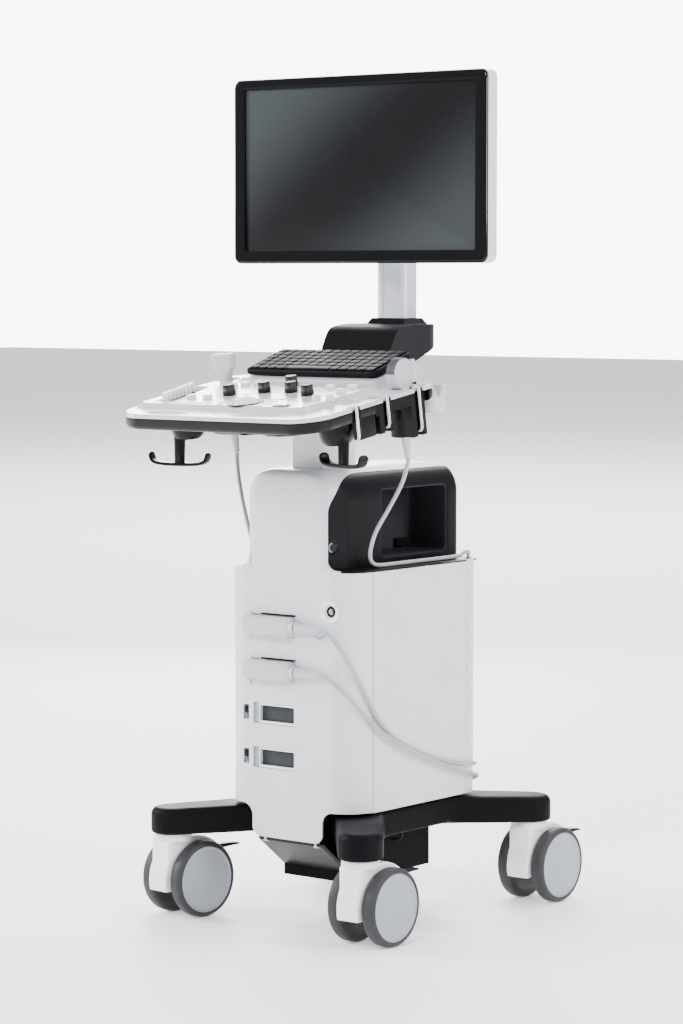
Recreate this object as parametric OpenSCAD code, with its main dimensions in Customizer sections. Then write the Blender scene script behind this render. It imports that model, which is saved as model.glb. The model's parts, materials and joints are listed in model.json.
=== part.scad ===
// Cart-type ultrasound machine: a slim trunk on an X-shaped caster base, a height-adjustable
// and swivelling control console with a keyboard, probe holders and cable hooks, and a
// swivelling and tilting monitor on a pole.
// Millimetres. +Z is up, +X is the machine's right side and the operator stands at -Y.
// The origin is on the floor, midway between the four casters.

/* [Casters] */
// Wheel diameter
wheel_d = 125; // [120:1:126]
// Half the distance between the left and right caster swivels
caster_x = 194; // [190:1:200]
// Half the distance between the front and rear caster swivels
caster_y = 229; // [225:1:235]
// Horizontal distance from a swivel axis to its wheel axle
caster_trail = 33; // [32:1:34]
// Trailing direction of the front left caster, from straight back
front_left_heading = -7; // [-10:1:10]

/* [Trunk] */
// Half the width of the lower trunk
trunk_x = 135; // [134:1:138]
// Front face of the trunk
trunk_front = -173; // [-176:1:-172]
// Height of the ledge between the lower trunk and the neck
ledge_z = 579; // [575:1:582]
// Half the width of the neck
neck_x = 90; // [89:1:92]
// Top of the neck
neck_top = 737; // [736:1:739]
// Wall thickness of the plastic covers
cover_t = 3; // [2.5:0.5:3.5]

/* [Console] */
// Half the width of the console
deck_x = 205; // [203:1:208]
// Slope of the console's surface, in degrees
deck_tilt = 9; // [8.5:0.5:9.5]
// Height of the raised control bank over the palm rest
bank_h = 14; // [13:1:15]
// Slope of the keyboard, in degrees
keyboard_tilt = 18; // [17:0.5:19]

/* [Monitor] */
// Width of the monitor
monitor_w = 522; // [515:1:530]
// Height of the monitor
monitor_h = 306; // [300:1:310]
// Width of the visible screen
screen_w = 476; // [470:1:480]
// Height of the visible screen
screen_h = 268; // [262:1:270]

/* [Hidden] */
$fn = 64;
wheel_r = wheel_d / 2;
leg_z = 140;              // underside of the legs
ball_r = 25;

// Places that several parts share
column_y = -76;                       // axis of the lift column
column_hx = 31.5;
column_hy = 43;
deck_origin_z = 866.8;                // deck's lower face over the lift column
mast_y = 118;                         // axis of the monitor pole
tilt_y = 74;                          // monitor tilt axis
tilt_z = 1249;
screen_z = 1220;                      // middle of the screen
port_z = [485, 413, 341, 269];        // probe ports, top to bottom
front_slot_y = -184;                  // foremost cable slot in the console's right edge
holder_x = 174;
right_cups = [-105, -23];             // probe cups, front and rear
left_cups = [-113, -33];
cup_depth = [48, 70];                 // how far the front and the rear cup reach down
gel_spot = [180, -36];                // gel cup, level, at the console's rear right corner
hook_z = [739, 748];                  // underside of the left and the right cable hook
knob_spots = [[-64, -161], [-17, -130], [33, -124], [-4, -77], [81, -143]];
switch_spots = [
    [-117, -193], [-86, -189], [121, -171], [145, -168], [81, -85], [125, -113], [122, -80],
    [-116, -90], [-98, -80], [-79, -69], [96, -227]
];
trackball_spot = [13, -213];

// ---------------------------------------------------------------- shared helpers

// Rectangle with its own corner radius at the low-y and the high-y side
module rounded(x0, x1, y0, y1, r_low, r_high) {
    translate([x0, y0 + r_low]) square([x1 - x0, y1 - y0 - r_low - r_high]);
    translate([x0 + r_low, y0]) square([x1 - x0 - 2 * r_low, r_low + 1]);
    translate([x0 + r_high, y1 - r_high - 1]) square([x1 - x0 - 2 * r_high, r_high + 1]);
    for (x = [x0 + r_low, x1 - r_low]) translate([x, y0 + r_low]) circle(r = r_low);
    for (x = [x0 + r_high, x1 - r_high]) translate([x, y1 - r_high]) circle(r = r_high);
}

// Extrusion of a front view (drawn in x and z) from y0 to y1
module front_view(y0, y1) {
    translate([0, y1, 0]) rotate([90, 0, 0]) linear_extrude(y1 - y0) children();
}

// Extrusion of a side view (drawn in y and z) from x0 to x1
module side_view(x0, x1) {
    translate([x0, 0, 0]) rotate([90, 0, 90]) linear_extrude(x1 - x0) children();
}

// Extrusion of a plan view from z0 to z1
module plan_view(z0, z1) {
    translate([0, 0, z0]) linear_extrude(z1 - z0) children();
}

module on_deck() {
    translate([0, column_y, deck_origin_z]) rotate([deck_tilt, 0, 0]) children();
}

module on_keyboard() {
    translate([0, -114, 883.5]) rotate([keyboard_tilt, 0, 0]) children();
}

module both_sides() {
    children();
    mirror([1, 0, 0]) children();
}

// ---------------------------------------------------------------- casters

corner_sign = [[-1, -1], [1, -1], [-1, 1], [1, 1]];
heading = [front_left_heading, 0, 0, 0];

module at_caster(i) {
    translate([corner_sign[i][0] * caster_x, corner_sign[i][1] * caster_y, 0])
        rotate([0, 0, heading[i]]) children();
}

pedal_y = 72;                         // brake pedal pivot, in the caster's own frame
pedal_z = 100;

module caster_housing(i) {
    color("white") at_caster(i) difference() {
        union() {
            translate([0, 0, 126.5]) cylinder(r = 30.5, h = leg_z - 0.5 - 126.5);
            translate([0, 0, 130]) cylinder(r = 8, h = 42);
            side_view(-20.5, 20.5) difference() {
                union() {
                    translate([caster_trail, wheel_r]) circle(r = 69);
                    translate([-28, 60]) square([60, 69]);
                    translate([-14, 60]) circle(r = 14);
                    translate([-14, 46]) square([50, 20]);
                }
                translate([-60, -20]) square([200, 66]);
                translate([caster_trail + 16, -20]) square([100, 98]);
            }
        }
        translate([-40, caster_trail, wheel_r]) rotate([0, 90, 0]) cylinder(r = 6.05, h = 80);
        translate([-8.5, pedal_y - 9, 86]) cube([17, 60, 60]);
        translate([-14.5, pedal_y, pedal_z]) rotate([0, 90, 0]) cylinder(r = 2.55, h = 29);
    }
}

module wheel_profile() {
    polygon([
        [0, 22], [57, 22], [60.5, 23.5], [wheel_r, 27.5], [wheel_r, 40.5], [60.5, 44.5],
        [57, 46], [54.5, 46], [53.5, 44.8], [0, 45.6]
    ]);
}

module caster_wheels(i) {
    color("dimgray") at_caster(i) translate([0, caster_trail, wheel_r]) {
        for (side = [-1, 1]) rotate([0, side * 90, 0]) rotate_extrude($fn = 96) wheel_profile();
        translate([-24, 0, 0]) rotate([0, 90, 0]) cylinder(r = 6, h = 48);
    }
}

module caster_pedal(i) {
    color([0.1, 0.1, 0.1]) at_caster(i) {
        translate([-8, pedal_y, pedal_z]) rotate([0, 90, 0]) cylinder(r = 5, h = 16);
        translate([-14, pedal_y, pedal_z]) rotate([0, 90, 0]) cylinder(r = 2.5, h = 28);
        side_view(-8, 8) polygon([[72, 95.2], [72, 104.8], [112, 108], [139, 106], [139, 102], [112, 101]]);
        side_view(-10, 10) polygon([[112, 101], [112, 108], [139, 106], [139, 102]]);
    }
}

// ---------------------------------------------------------------- base

module base_casting() {
    color([0.12, 0.12, 0.13]) difference() {
        union() {
            plan_view(146, 187) rounded(-131, 131, -121, 150, 46, 24);
            for (s = corner_sign) hull() {
                translate([s[0] * caster_x, s[1] * caster_y, leg_z]) cylinder(r = 36, h = 34, $fn = 32);
                translate([s[0] * caster_x, s[1] * caster_y, leg_z]) cylinder(r = 30, h = 42, $fn = 32);
                translate([s[0] * 88, s[1] * 108 + 12, leg_z + 2]) cylinder(r = 40, h = 45, $fn = 32);
            }
        }
        for (s = corner_sign)
            translate([s[0] * caster_x, s[1] * caster_y, leg_z - 1]) cylinder(r = 8.05, h = 33.5);
        translate([-60, -104, leg_z - 1]) cube([120, 230, 39]);
        translate([-66.3, -100.3, leg_z - 1]) cube([132.6, 222.6, 7]);
    }
}

module power_box() {
    color([0.1, 0.1, 0.1]) difference() {
        translate([-66, -100, 66]) cube([132, 222, 79.7]);
        translate([-63, -97, 69]) cube([126, 216, 80]);
        translate([-42, 110, 88]) cube([30, 20, 22]);
    }
}

module base_front_panel() {
    color([0.3, 0.3, 0.32]) {
        side_view(-66, 66) polygon([[-100.3, 84], [-165, 134], [-165, 138.5], [-161, 138.5], [-100.3, 90]]);
    }
}

// ---------------------------------------------------------------- trunk covers

// Solid of the lower trunk, drawn in by t
module trunk_solid(t) {
    intersection() {
        plan_view(leg_z - 20, ledge_z - t)
            rounded(-trunk_x + t, trunk_x - t, trunk_front + t, 171 - t, 50 - t, 30 - t);
        side_view(-200, 200) polygon([
            [-250, 0], [152 - t, 0], [152 - t, 190], [171 - t, ledge_z], [171 - t, 800], [-250, 800]
        ]);
    }
}

// Solid of the neck, drawn in by t
module neck_solid(t) {
    intersection() {
        plan_view(ledge_z - 20, neck_top + 10)
            rounded(-neck_x + t, neck_x - t, trunk_front + t, 177 - t, 24 - t, 20 - t);
        front_view(-200, 200) translate([0, ledge_z - 40])
            rounded(-neck_x + t, neck_x - t, 0, neck_top - t - ledge_z + 40, 5, 66 - t);
        side_view(-200, 200) rounded(trunk_front + t, 177 - t, ledge_z - 40, neck_top - t, 5, 30 - t);
    }
}

window_top = 730;
window_arc = [-68, 62];               // where the opening's front top arc ends, and its height

// Side view of the neck's side opening, drawn in by t
module neck_window(t) {
    intersection() {
        translate([-200, ledge_z - cover_t + t]) square([400, 400]);
        union() {
            translate([window_arc[0], 500]) square([280, window_top - t - 500]);
            translate([-168 + t, 500]) square([378, window_top - window_arc[1] - 500]);
            translate([window_arc[0], window_top - window_arc[1]])
                scale([window_arc[0] + 168 - t, window_arc[1] - t]) circle(r = 1);
        }
    }
}

// Plan of the right ledge between the neck and the trunk's walls, drawn in by t
module ledge_outline(t) {
    intersection() {
        rounded(-trunk_x + cover_t + t, trunk_x - cover_t - t, trunk_front + cover_t + t, 200, 47 - t, 10);
        translate([77 + t, -200]) square([100, 400]);
    }
}

module front_cover() {
    color([0.93, 0.94, 0.95]) difference() {
        union() {
            trunk_solid(0);
            neck_solid(0);
        }
        trunk_solid(cover_t);
        neck_solid(cover_t);
        // the side panels and the rear cover take over behind the front corners
        translate([-200, -121, 0]) cube([400, 400, ledge_z + 0.1]);
        // cut-outs round the front legs, and the open underside
        front_view(-200, -100) difference() {
            translate([-200, 0]) square([400, 192]);
            rounded(-72, 72, leg_z, 300, 16, 5);
            for (side = [-1, 1]) translate([side * 72 - 20, 172]) square([40, 30]);
        }
        for (side = [-1, 1]) front_view(-200, -100) translate([side * 92, 172]) circle(r = 20);
        translate([-200, -250, 0]) cube([400, 400, leg_z]);
        // side openings of the neck, down to the ledge, and the open back under the top
        both_sides() side_view(58, 140) neck_window(0);
        both_sides() plan_view(ledge_z - cover_t - 0.1, ledge_z + 1) ledge_outline(0);
        translate([-200, 132, 0]) cube([400, 100, 700]);
        translate([-34, column_y - 45.5, 700]) cube([68, 91, 80]);
        // probe ports, their latches and the round socket
        for (z = port_z) {
            translate([-70, -190, z - 17]) cube([86, 40, 34]);
            translate([-91, -190, z - 12]) cube([12, 40, 24]);
        }
        translate([88, -190, 514]) rotate([-90, 0, 0]) cylinder(r = 14, h = 40);
    }
}

module side_panel() {
    color([0.93, 0.94, 0.95]) intersection() {
        difference() {
            trunk_solid(0);
            trunk_solid(cover_t);
        }
        translate([100, -120.2, 190]) cube([100, 251.8, ledge_z - 190 - cover_t - 0.2]);
    }
}

module side_panel_right() side_panel();
module side_panel_left() mirror([1, 0, 0]) side_panel();

module rear_cover() {
    color([0.9, 0.91, 0.92]) difference() {
        union() {
            intersection() {
                trunk_solid(0);
                translate([-200, 132, 190]) cube([400, 100, 400]);
            }
            intersection() {
                neck_solid(0);
                translate([-76.8, 160, ledge_z - 20]) cube([153.6, 100, 140.8]);
            }
        }
        trunk_solid(cover_t);
        neck_solid(cover_t);
        both_sides() intersection() {
            plan_view(ledge_z - cover_t - 0.1, ledge_z + 1) ledge_outline(0);
            translate([0, 100, 0]) cube([200, 66.3, 800]);
        }
        // vent slots over the fans
        for (side = [-1, 1]) for (k = [-5:5])
            translate([side * 60 - 36, 140, 470 + k * 8]) cube([72, 60, 4]);
        for (k = [0:5]) translate([-70, 140, 640 + k * 8]) cube([140, 60, 4]);
    }
}

bay_y = [-40, 139];                   // printer bays, front and rear
bay_z = [591, 702];
bay_rooms = [[40, bay_y[0]], [8, -24]];  // inner and front wall beside and behind the lift sleeve

module at_power_button() {
    translate([80.7, -156.6, 615]) rotate([0, 90, -20.4]) children();
}

// Inside of the neck with its front corners cut off, drawn in by t
module liner_solid(t) {
    intersection() {
        neck_solid(t);
        plan_view(ledge_z - 10, neck_top) difference() {
            translate([-100, -200]) square([200, 400]);
            both_sides() polygon([
                [77 - t, -200], [77 - t, -166 + t / 2], [90 - t, -132 + t / 2], [100, -132], [100, -200]
            ]);
        }
    }
}

module bay_liner() {
    color([0.1, 0.1, 0.11]) difference() {
        union() {
            // curved side plates
            intersection() {
                difference() {
                    liner_solid(0.4);
                    liner_solid(3.4);
                    translate([-77.2, 158, 0]) cube([154.4, 100, 700.3]);
                }
                both_sides() side_view(58.3, 100) neck_window(0.3);
            }
            both_sides() translate([0, bay_y[0] - 3, bay_z[0] - 3])
                cube([86.6, bay_y[1] - bay_y[0] + 4.5, bay_z[1] - bay_z[0] + 6]);
            both_sides() intersection() {
                plan_view(ledge_z - cover_t, ledge_z - 0.2) ledge_outline(0.2);
                translate([0, -200, 0]) cube([200, 366, 800]);
            }
        }
        both_sides() for (room = bay_rooms)
            translate([room[0], room[1], bay_z[0]])
                cube([98 - room[0], bay_y[1] - room[1], bay_z[1] - bay_z[0]]);
        translate([-100, 166, ledge_z - 10]) cube([200, 20, 10.2]);
        at_power_button() translate([0, 0, -12]) cylinder(r = 8.4, h = 24);
        translate([-37, column_y - 49, 500]) cube([74, 98, 300]);
    }
}

module port_panel() {
    color([0.25, 0.26, 0.28]) difference() {
        union() {
            translate([-98, -166, 240]) cube([124, 4, 275]);
            for (z = port_z) translate([-69.7, -169.6, z - 16.7]) cube([85.4, 5, 33.4]);
        }
        // the well of each port, and the guide of each latch
        for (z = port_z) {
            translate([-58, -175, z - 13]) cube([71, 20, 26]);
            translate([-90.5, -175, z - 11.5]) cube([11, 20, 23]);
        }
    }
    color([0.15, 0.15, 0.16]) for (z = port_z)
        translate([-62, -162, z - 15]) cube([79, 10, 30]);
}

module port_latches() {
    color([0.08, 0.08, 0.08]) {
        for (z = port_z) translate([-89.5, -171.5, z - 2]) cube([9, 12, 11]);
        translate([-92, -160, 240]) cube([14, 2.5, 262]);
    }
}

module aux_socket() {
    color([0.85, 0.85, 0.86]) translate([88, -169, 514]) rotate([-90, 0, 0]) difference() {
        union() {
            cylinder(r = 9, h = 22);
            translate([0, 0, 5]) cylinder(r = 13.6, h = 3);
        }
        translate([0, 0, -1]) cylinder(r = 5, h = 12);
    }
}

// ---------------------------------------------------------------- inside the trunk

module chassis_frame() {
    color("silver") {
        translate([-125, -115, 187.3]) cube([250, 240, 4]);
        for (x = [-124, 106]) for (y = [-114, 106]) translate([x, y, 191]) cube([18, 18, 369]);
        difference() {
            translate([-125, -115, 560]) cube([250, 240, 4]);
            translate([-37, column_y - 49, 550]) cube([74, 98, 20]);
        }
    }
}

module lift_sleeve() {
    color("gainsboro") difference() {
        translate([-36, column_y - 48, 191.5]) cube([72, 96, 530]);
        translate([-column_hx - 0.6, column_y - column_hy - 0.6, 196])
            cube([2 * column_hx + 1.2, 2 * column_hy + 1.2, 540]);
    }
}

module electronics_rack() {
    color([0.55, 0.57, 0.55]) {
        difference() {
            translate([-96, -20, 191.5]) cube([192, 110, 330]);
            translate([-94, -22, 193.5]) cube([188, 110, 326]);
        }
        for (k = [0:6]) translate([-78 + k * 25, -14, 192.5]) cube([2, 103, 328]);
    }
}

module cooling_fans() {
    color([0.15, 0.15, 0.15]) for (side = [-1, 1])
        translate([side * 60, 138, 470]) rotate([-90, 0, 0]) {
            difference() {
                translate([-46, -46, 0]) cube([92, 92, 22]);
                translate([0, 0, -1]) cylinder(r = 42, h = 24);
            }
            cylinder(r = 17, h = 22);
            for (k = [0:6]) rotate([0, 0, k * 360 / 7]) translate([10, -2, 4]) cube([33, 4, 14]);
        }
}

module mains_inlet() {
    color([0.08, 0.08, 0.08]) difference() {
        union() {
            translate([-41.7, 100, 88.3]) cube([29.4, 23, 21.4]);
            translate([-45, 122.3, 85]) cube([36, 3, 28]);
        }
        translate([-39, 108, 90.5]) cube([24, 30, 17]);
    }
}

// ---------------------------------------------------------------- power button and connectors

module power_button() {
    color([0.1, 0.12, 0.12]) at_power_button() translate([0, 0, -8]) cylinder(r = 8, h = 9);
}

module probe_connector(z) {
    translate([0, 0, z]) {
        difference() {
            translate([-80, -194, -16.5]) cube([102, 20.8, 33]);
            translate([-86, -200, -20]) cube([10, 10, 40]);
        }
        translate([-69.5, -174, -16.4]) cube([85, 4.1, 32.8]);
        translate([-57.5, -172, -12.7]) cube([70, 9.7, 25.4]);
        translate([20, -184, 0]) rotate([0, 90, 0]) cylinder(r = 10.5, h = 8);
        translate([26, -184, 0]) rotate([0, 90, 0]) cylinder(r1 = 8.5, r2 = 4.6, h = 52);
    }
}

module probe_connectors() {
    color([0.88, 0.88, 0.9]) for (k = [0, 1]) probe_connector(port_z[k]);
}

// ---------------------------------------------------------------- cables

// Points of the two probe cables, from connector to probe
right_route = [
    [78, -184, 485], [86, -184, 484], [98, -181, 474], [110, -174, 456], [122, -164, 430],
    [133, -150, 398], [139.5, -132, 364], [140, -110, 336], [140, -70, 306], [140, -20, 282],
    [140, 40, 260], [140, 100, 245], [140, 135, 240], [136, 154, 238], [124, 163, 236],
    [106, 166, 228], [86, 168, 220], [68, 170, 226], [58, 171, 244], [54, 172, 280],
    [54, 174, 330], [58, 175, 390], [66, 176, 450], [78, 177, 505], [92, 178, 548],
    [104, 177, 574], [110, 170, 587], [112, 156, 588], [112, 138, 583.2], [112, 90, 582.7],
    [112, 30, 582.7], [112, -30, 582.7], [112, -70, 583], [112, -90, 586], [112, -99, 596],
    [115, -101, 614], [121, -95, 640], [135, -84, 672], [150, -79, 700], [162, -78.5, 722],
    [169.3, -79.5, 741]
];
left_route = [
    [78, -184, 413], [86, -184, 412], [100, -180, 402], [114, -172, 388], [127, -160, 370],
    [137, -144, 350], [142, -126, 332], [144, -100, 314], [146, -60, 294], [146, -10, 272],
    [145, 50, 250], [144, 100, 233], [143, 134, 224], [139, 156, 218], [126, 167, 212],
    [100, 171, 203], [60, 173, 195], [10, 174, 190], [-40, 173, 193], [-78, 172, 206],
    [-98, 172, 230], [-107, 173, 270], [-110, 175, 330], [-111, 177, 400], [-112, 178, 470],
    [-112, 179, 530], [-112, 178, 570], [-112, 171, 586], [-112, 156, 588], [-112, 138, 583.2],
    [-112, 90, 582.7], [-112, 20, 582.7], [-112, -50, 582.7], [-112, -92, 584], [-113, -110, 594],
    [-118, -118, 616], [-131, -116, 648], [-148, -108, 684], [-163, -98, 716], [-169.5, -94, 741]
];
right_tail = [[169.6, -79.6, 742], [172.6, -80.4, 749], [173.8, -81.6, 755.8]];
left_tail = [[-169.7, -93.9, 742], [-170.9, -92.6, 748], [-171.7, -91.8, 753.8]];
cable_r = 3.5;

function unit(v) = v / norm(v);
function tangent(p, i) = unit(p[min(i + 1, len(p) - 1)] - p[max(i - 1, 0)]);
// The first ring's side direction, carried along the route without twist
function carry(side, t) = unit(side - (side * t) * t);
function frames(p, side, i) =
    i == len(p) ? [] : let (s = carry(side, tangent(p, i))) concat([s], frames(p, s, i + 1));

module cable(points) {
    sides = 8;
    start = abs(tangent(points, 0)[2]) > 0.8 ? [1, 0, 0] : [0, 0, 1];
    across = frames(points, start, 0);
    rings = [
        for (i = [0:len(points) - 1]) for (k = [0:sides - 1])
            let (t = tangent(points, i), a = k * 360 / sides)
            points[i] + cable_r * (cos(a) * across[i] + sin(a) * cross(t, across[i]))
    ];
    skin = [
        for (i = [0:len(points) - 2]) for (k = [0:sides - 1])
            let (m = (k + 1) % sides) [i * sides + k, i * sides + m, (i + 1) * sides + m, (i + 1) * sides + k]
    ];
    last = (len(points) - 1) * sides;
    ends = [[for (k = [sides - 1:-1:0]) k], [for (k = [0:sides - 1]) last + k]];
    color([0.82, 0.82, 0.82]) polyhedron(rings, concat(ends, skin), 4);
}

module cable_right_lower() cable(right_route);
module cable_left_lower() cable(left_route);
module cable_right_upper() cable(right_tail);
module cable_left_upper() cable(left_tail);

// ---------------------------------------------------------------- lift column and console

module lift_column() {
    color([0.85, 0.86, 0.88]) {
        difference() {
            translate([-column_hx, column_y - column_hy, 330]) cube([2 * column_hx, 2 * column_hy, 480]);
            translate([-column_hx + 3, column_y - column_hy + 3, 320])
                cube([2 * column_hx - 6, 2 * column_hy - 6, 484]);
        }
        translate([0, column_y, 809]) cylinder(r = 24, h = 35);
    }
}

// Outline of the console in its own plane, drawn in by t
module deck_outline(t) {
    rounded(-deck_x + t, deck_x - t, -292 + t, 22 - t, 56 - t, 36 - t);
    translate([-140 + t, -20]) square([280 - 2 * t, 88 - t]);
}

// A probe cup's bore with its slot out to the console's edge
module cup_gap(x, y, r) {
    translate([x, y]) circle(r = r);
    translate([x > 0 ? x : x - 60, y - 6]) square([60, 12]);
}

module console_cuts() {
    for (y = right_cups) cup_gap(holder_x, y, 17);
    for (y = left_cups) cup_gap(-holder_x, y, 17);
    translate([deck_x - 11, front_slot_y - 6]) square([30, 12]);
}

// Where the probe holders take the place of the console's lower band
module holder_bay(side, cups) {
    translate([side > 0 ? 148 : -218, cups[0] - 26]) square([70, 137]);
}

// Room for the gel cup, given in the console's frame
module gel_clearance() {
    rotate([-deck_tilt, 0, 0])
        translate([gel_spot[0], gel_spot[1] - column_y, -200]) cylinder(r = 28.3, h = 400);
}

module console_base() {
    color([0.1, 0.1, 0.11]) difference() {
        union() {
            on_deck() {
                plan_view(-19, -0.3) difference() {
                    deck_outline(1.5);
                    console_cuts();
                    holder_bay(1, right_cups);
                    holder_bay(-1, left_cups);
                }
                plan_view(-31, -18) rounded(-138, 138, -240, 60, 70, 40);
                plan_view(-42, -30) rounded(-112, 112, -214, 60, 70, 40);
                plan_view(-42, -0.3) rounded(-70, 70, 20, 128, 5, 20);
                translate([188, -175, -48]) cube([15.5, 43.7, 47.7]);
            }
            translate([0, column_y, 812]) cylinder(r = 56, h = 30);
            translate([-48, 6, 855]) cube([96, 42, 66.4]);
        }
        // the tray is open inside, round the bearing of the lift column
        on_deck() plan_view(-26, 1) difference() {
            rounded(-134, 134, -250, 40, 50, 30);
            translate([-60, -70]) square([120, 140]);
        }
        translate([0, column_y, 700]) cylinder(r = 24.05, h = 145);
        on_deck() gel_clearance();
        on_deck() at_trackball() sphere(r = ball_r + 0.6);
    }
}

module console_deck() {
    color([0.95, 0.95, 0.96]) difference() {
        union() {
            on_deck() {
                plan_view(0, 6) deck_outline(0);
                plan_view(0, bank_h) rounded(-deck_x + 4, 155, -248, 21, 30, 20);
            }
            // wedge under the keyboard
            intersection() {
                on_deck() plan_view(0, 80) rounded(-140, 140, -44, 70, 12, 10);
                on_keyboard() translate([-200, -30, -100]) cube([400, 160, 99.7]);
            }
        }
        // cups stay open through the control bank too
        on_deck() {
            plan_view(-20, 60) console_cuts();
            gel_clearance();
            for (p = knob_spots) translate([p[0], p[1], 2]) cylinder(r = 3.05, h = 30);
            for (p = switch_spots) translate([p[0] - 7.5, p[1] - 6.5, bank_h - 4]) cube([15, 13, 30]);
            translate([0, 0, bank_h - 4]) linear_extrude(20)
                polygon([[-164, -222], [-138, -222], [-160, -112], [-186, -112]]);
            at_trackball() sphere(r = ball_r + 0.6);
        }
    }
}

module at_trackball() {
    translate([trackball_spot[0], trackball_spot[1], bank_h - 14]) children();
}

module trackball() {
    color("white") on_deck() at_trackball() sphere(r = ball_r);
}

module gain_sliders() {
    color("white") on_deck() for (k = [0:7])
        translate([-158 - 2.7 * k, -218 + 12.6 * k, bank_h - 3.5]) cube([9, 8, 16]);
}

module push_switches() {
    color("white") on_deck() for (p = switch_spots)
        translate([p[0] - 7, p[1] - 6, bank_h - 1.5]) cube([14, 12, 10]);
}

module rotary_knob(k) {
    color([0.2, 0.2, 0.21]) on_deck() translate([knob_spots[k][0], knob_spots[k][1], 0]) {
        translate([0, 0, 3]) cylinder(r = 3, h = 12);
        translate([0, 0, bank_h + 0.5]) cylinder(r = 10.5, h = 10);
        translate([0, 0, bank_h + 10]) cylinder(r = 9.5, h = 8);
    }
}

module keyboard_body() {
    color([0.08, 0.08, 0.08]) on_keyboard() difference() {
        plan_view(0, 10) rounded(-136, 136, 0, 103, 14, 8);
        translate([-129, 4.5, 6]) cube([258, 94, 10]);
    }
}

key_pitch = [18.3, 15.5];

module keycaps() {
    color([0.14, 0.14, 0.15]) on_keyboard() {
        for (row = [1:5]) for (col = [0:13])
            translate([-127.5 + col * key_pitch[0], 5.2 + row * key_pitch[1], 8.3]) cube([16.6, 14, 4]);
        for (col = [0:13]) if (col < 4 || col > 8)
            translate([-127.5 + col * key_pitch[0], 5.2, 8.3]) cube([16.6, 14, 4]);
        translate([-127.5 + 4 * key_pitch[0], 5.2, 8.3]) cube([4 * key_pitch[0] + 16.6, 14, 4]);
    }
}

// ---------------------------------------------------------------- hooks, holders and probes

// Cradle hook: round boss under the console, post and a shallow bar with turned-up ends at height z
module cable_hook(x, z, turn) {
    on_deck() {
        translate([x, -168, -32]) cylinder(r = 13, h = 12.8);
        translate([sign(x) * 152, -168, -56]) cylinder(r = 28, h = 24.7);
    }
    translate([x, -239, 0]) {
        translate([0, 0, z + 3]) cylinder(r = 9, h = 60);
        rotate([0, 0, turn]) front_view(-9, 9) {
            translate([-48, z]) square([96, 6]);
            for (side = [-1, 1]) {
                translate([side * 48 - 3, z]) square([6, 22]);
                translate([side * 49 - 4, z + 12]) square([8, 10]);
            }
        }
    }
}

module cable_hooks() {
    color([0.08, 0.08, 0.08]) {
        cable_hook(-168, hook_z[0], 14.5);
        cable_hook(168, hook_z[1], -14.5);
    }
}

// Two slotted cups that hang under the console's edge
module probe_holder(side, cups) {
    color([0.1, 0.1, 0.11]) on_deck() difference() {
        union() {
            plan_view(-19, -0.3) intersection() {
                deck_outline(1.5);
                translate([side > 0 ? 148.3 : -218, cups[0] - 25.7]) square([69.7, 136.4]);
            }
            for (k = [0, 1]) plan_view(-cup_depth[k], -18) {
                translate([side * holder_x, cups[k]]) circle(r = 23);
                translate([side > 0 ? holder_x : -deck_x + 1.5, cups[k] - 18])
                    square([deck_x - 1.5 - holder_x, 36]);
            }
        }
        for (k = [0, 1]) {
            plan_view(4 - cup_depth[k], 1) cup_gap(side * holder_x, cups[k], 17);
            translate([side * holder_x, cups[k], -80]) cylinder(r = 11, h = 60);
            plan_view(-72, -18) cup_gap(side * holder_x, cups[k], 5);
        }
        gel_clearance();
    }
}

module probe_holder_right() probe_holder(1, right_cups);
module probe_holder_left() probe_holder(-1, left_cups);

module gel_cup() {
    color([0.8, 0.81, 0.83]) translate([gel_spot[0], gel_spot[1], 0]) difference() {
        translate([0, 0, 828]) cylinder(r = 28, h = 44);
        translate([0, 0, 831]) cylinder(r = 25, h = 50);
        rotate([0, 0, 72]) front_view(-40, 0) polygon([[-15, 880], [0, 852], [15, 880]]);
    }
}

module at_leaning_probe() {
    on_deck() translate([-holder_x, left_cups[1], -66]) rotate([0, -3, 0]) translate([0, 0, 66]) children();
}

module linear_probe() {
    color([0.8, 0.8, 0.82]) at_leaning_probe() {
        translate([0, 0, -76]) cylinder(r1 = 8, r2 = 12.5, h = 36);
        translate([0, 0, -40.2]) cylinder(r = 12.5, h = 56);
        hull() {
            translate([-9, -7.5, 15.4]) cube([18, 15, 6]);
            translate([-22, -7, 32]) cube([44, 14, 1]);
        }
        translate([-22, -7, 33]) cube([44, 14, 24]);
        translate([0, 0, -108]) cylinder(r1 = 4.6, r2 = 7.4, h = 32.2);
    }
}

module convex_probe() {
    color([0.92, 0.92, 0.93]) on_deck() translate([holder_x, right_cups[1], 0]) {
        translate([0, 0, -76]) cylinder(r1 = 8, r2 = 13, h = 36);
        translate([0, 0, -40.2]) cylinder(r = 13, h = 50);
        hull() {
            translate([-9, -11, 6]) cube([18, 22, 6]);
            translate([-10, 0, 28]) rotate([0, 90, 0]) cylinder(r = 26, h = 20, $fn = 32);
        }
        translate([0, 0, -108]) cylinder(r1 = 4.6, r2 = 7.4, h = 32.2);
    }
}

// ---------------------------------------------------------------- mast and monitor

module speaker_housing() {
    color([0.1, 0.1, 0.11]) difference() {
        union() {
            intersection() {
                side_view(-71.7, 71.7) hull() {
                    polygon([[5, 922], [14, 940], [60, 924], [140, 932], [153, 964], [120, 966], [70, 966]]);
                    translate([46, 930]) circle(r = 33);
                }
                plan_view(900, 970) rounded(-71.7, 71.7, 0, 153, 1, 43);
            }
            hull() {
                translate([-40, 84, 960]) cube([80, 66, 4]);
                translate([-33.5, 92.5, 975]) cube([67, 50, 0.5]);
            }
        }
        plan_view(940, 1000) pole_section(0.2);
        translate([-48.3, 0, 850]) cube([96.6, 48.3, 71.7]);
    }
}

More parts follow.
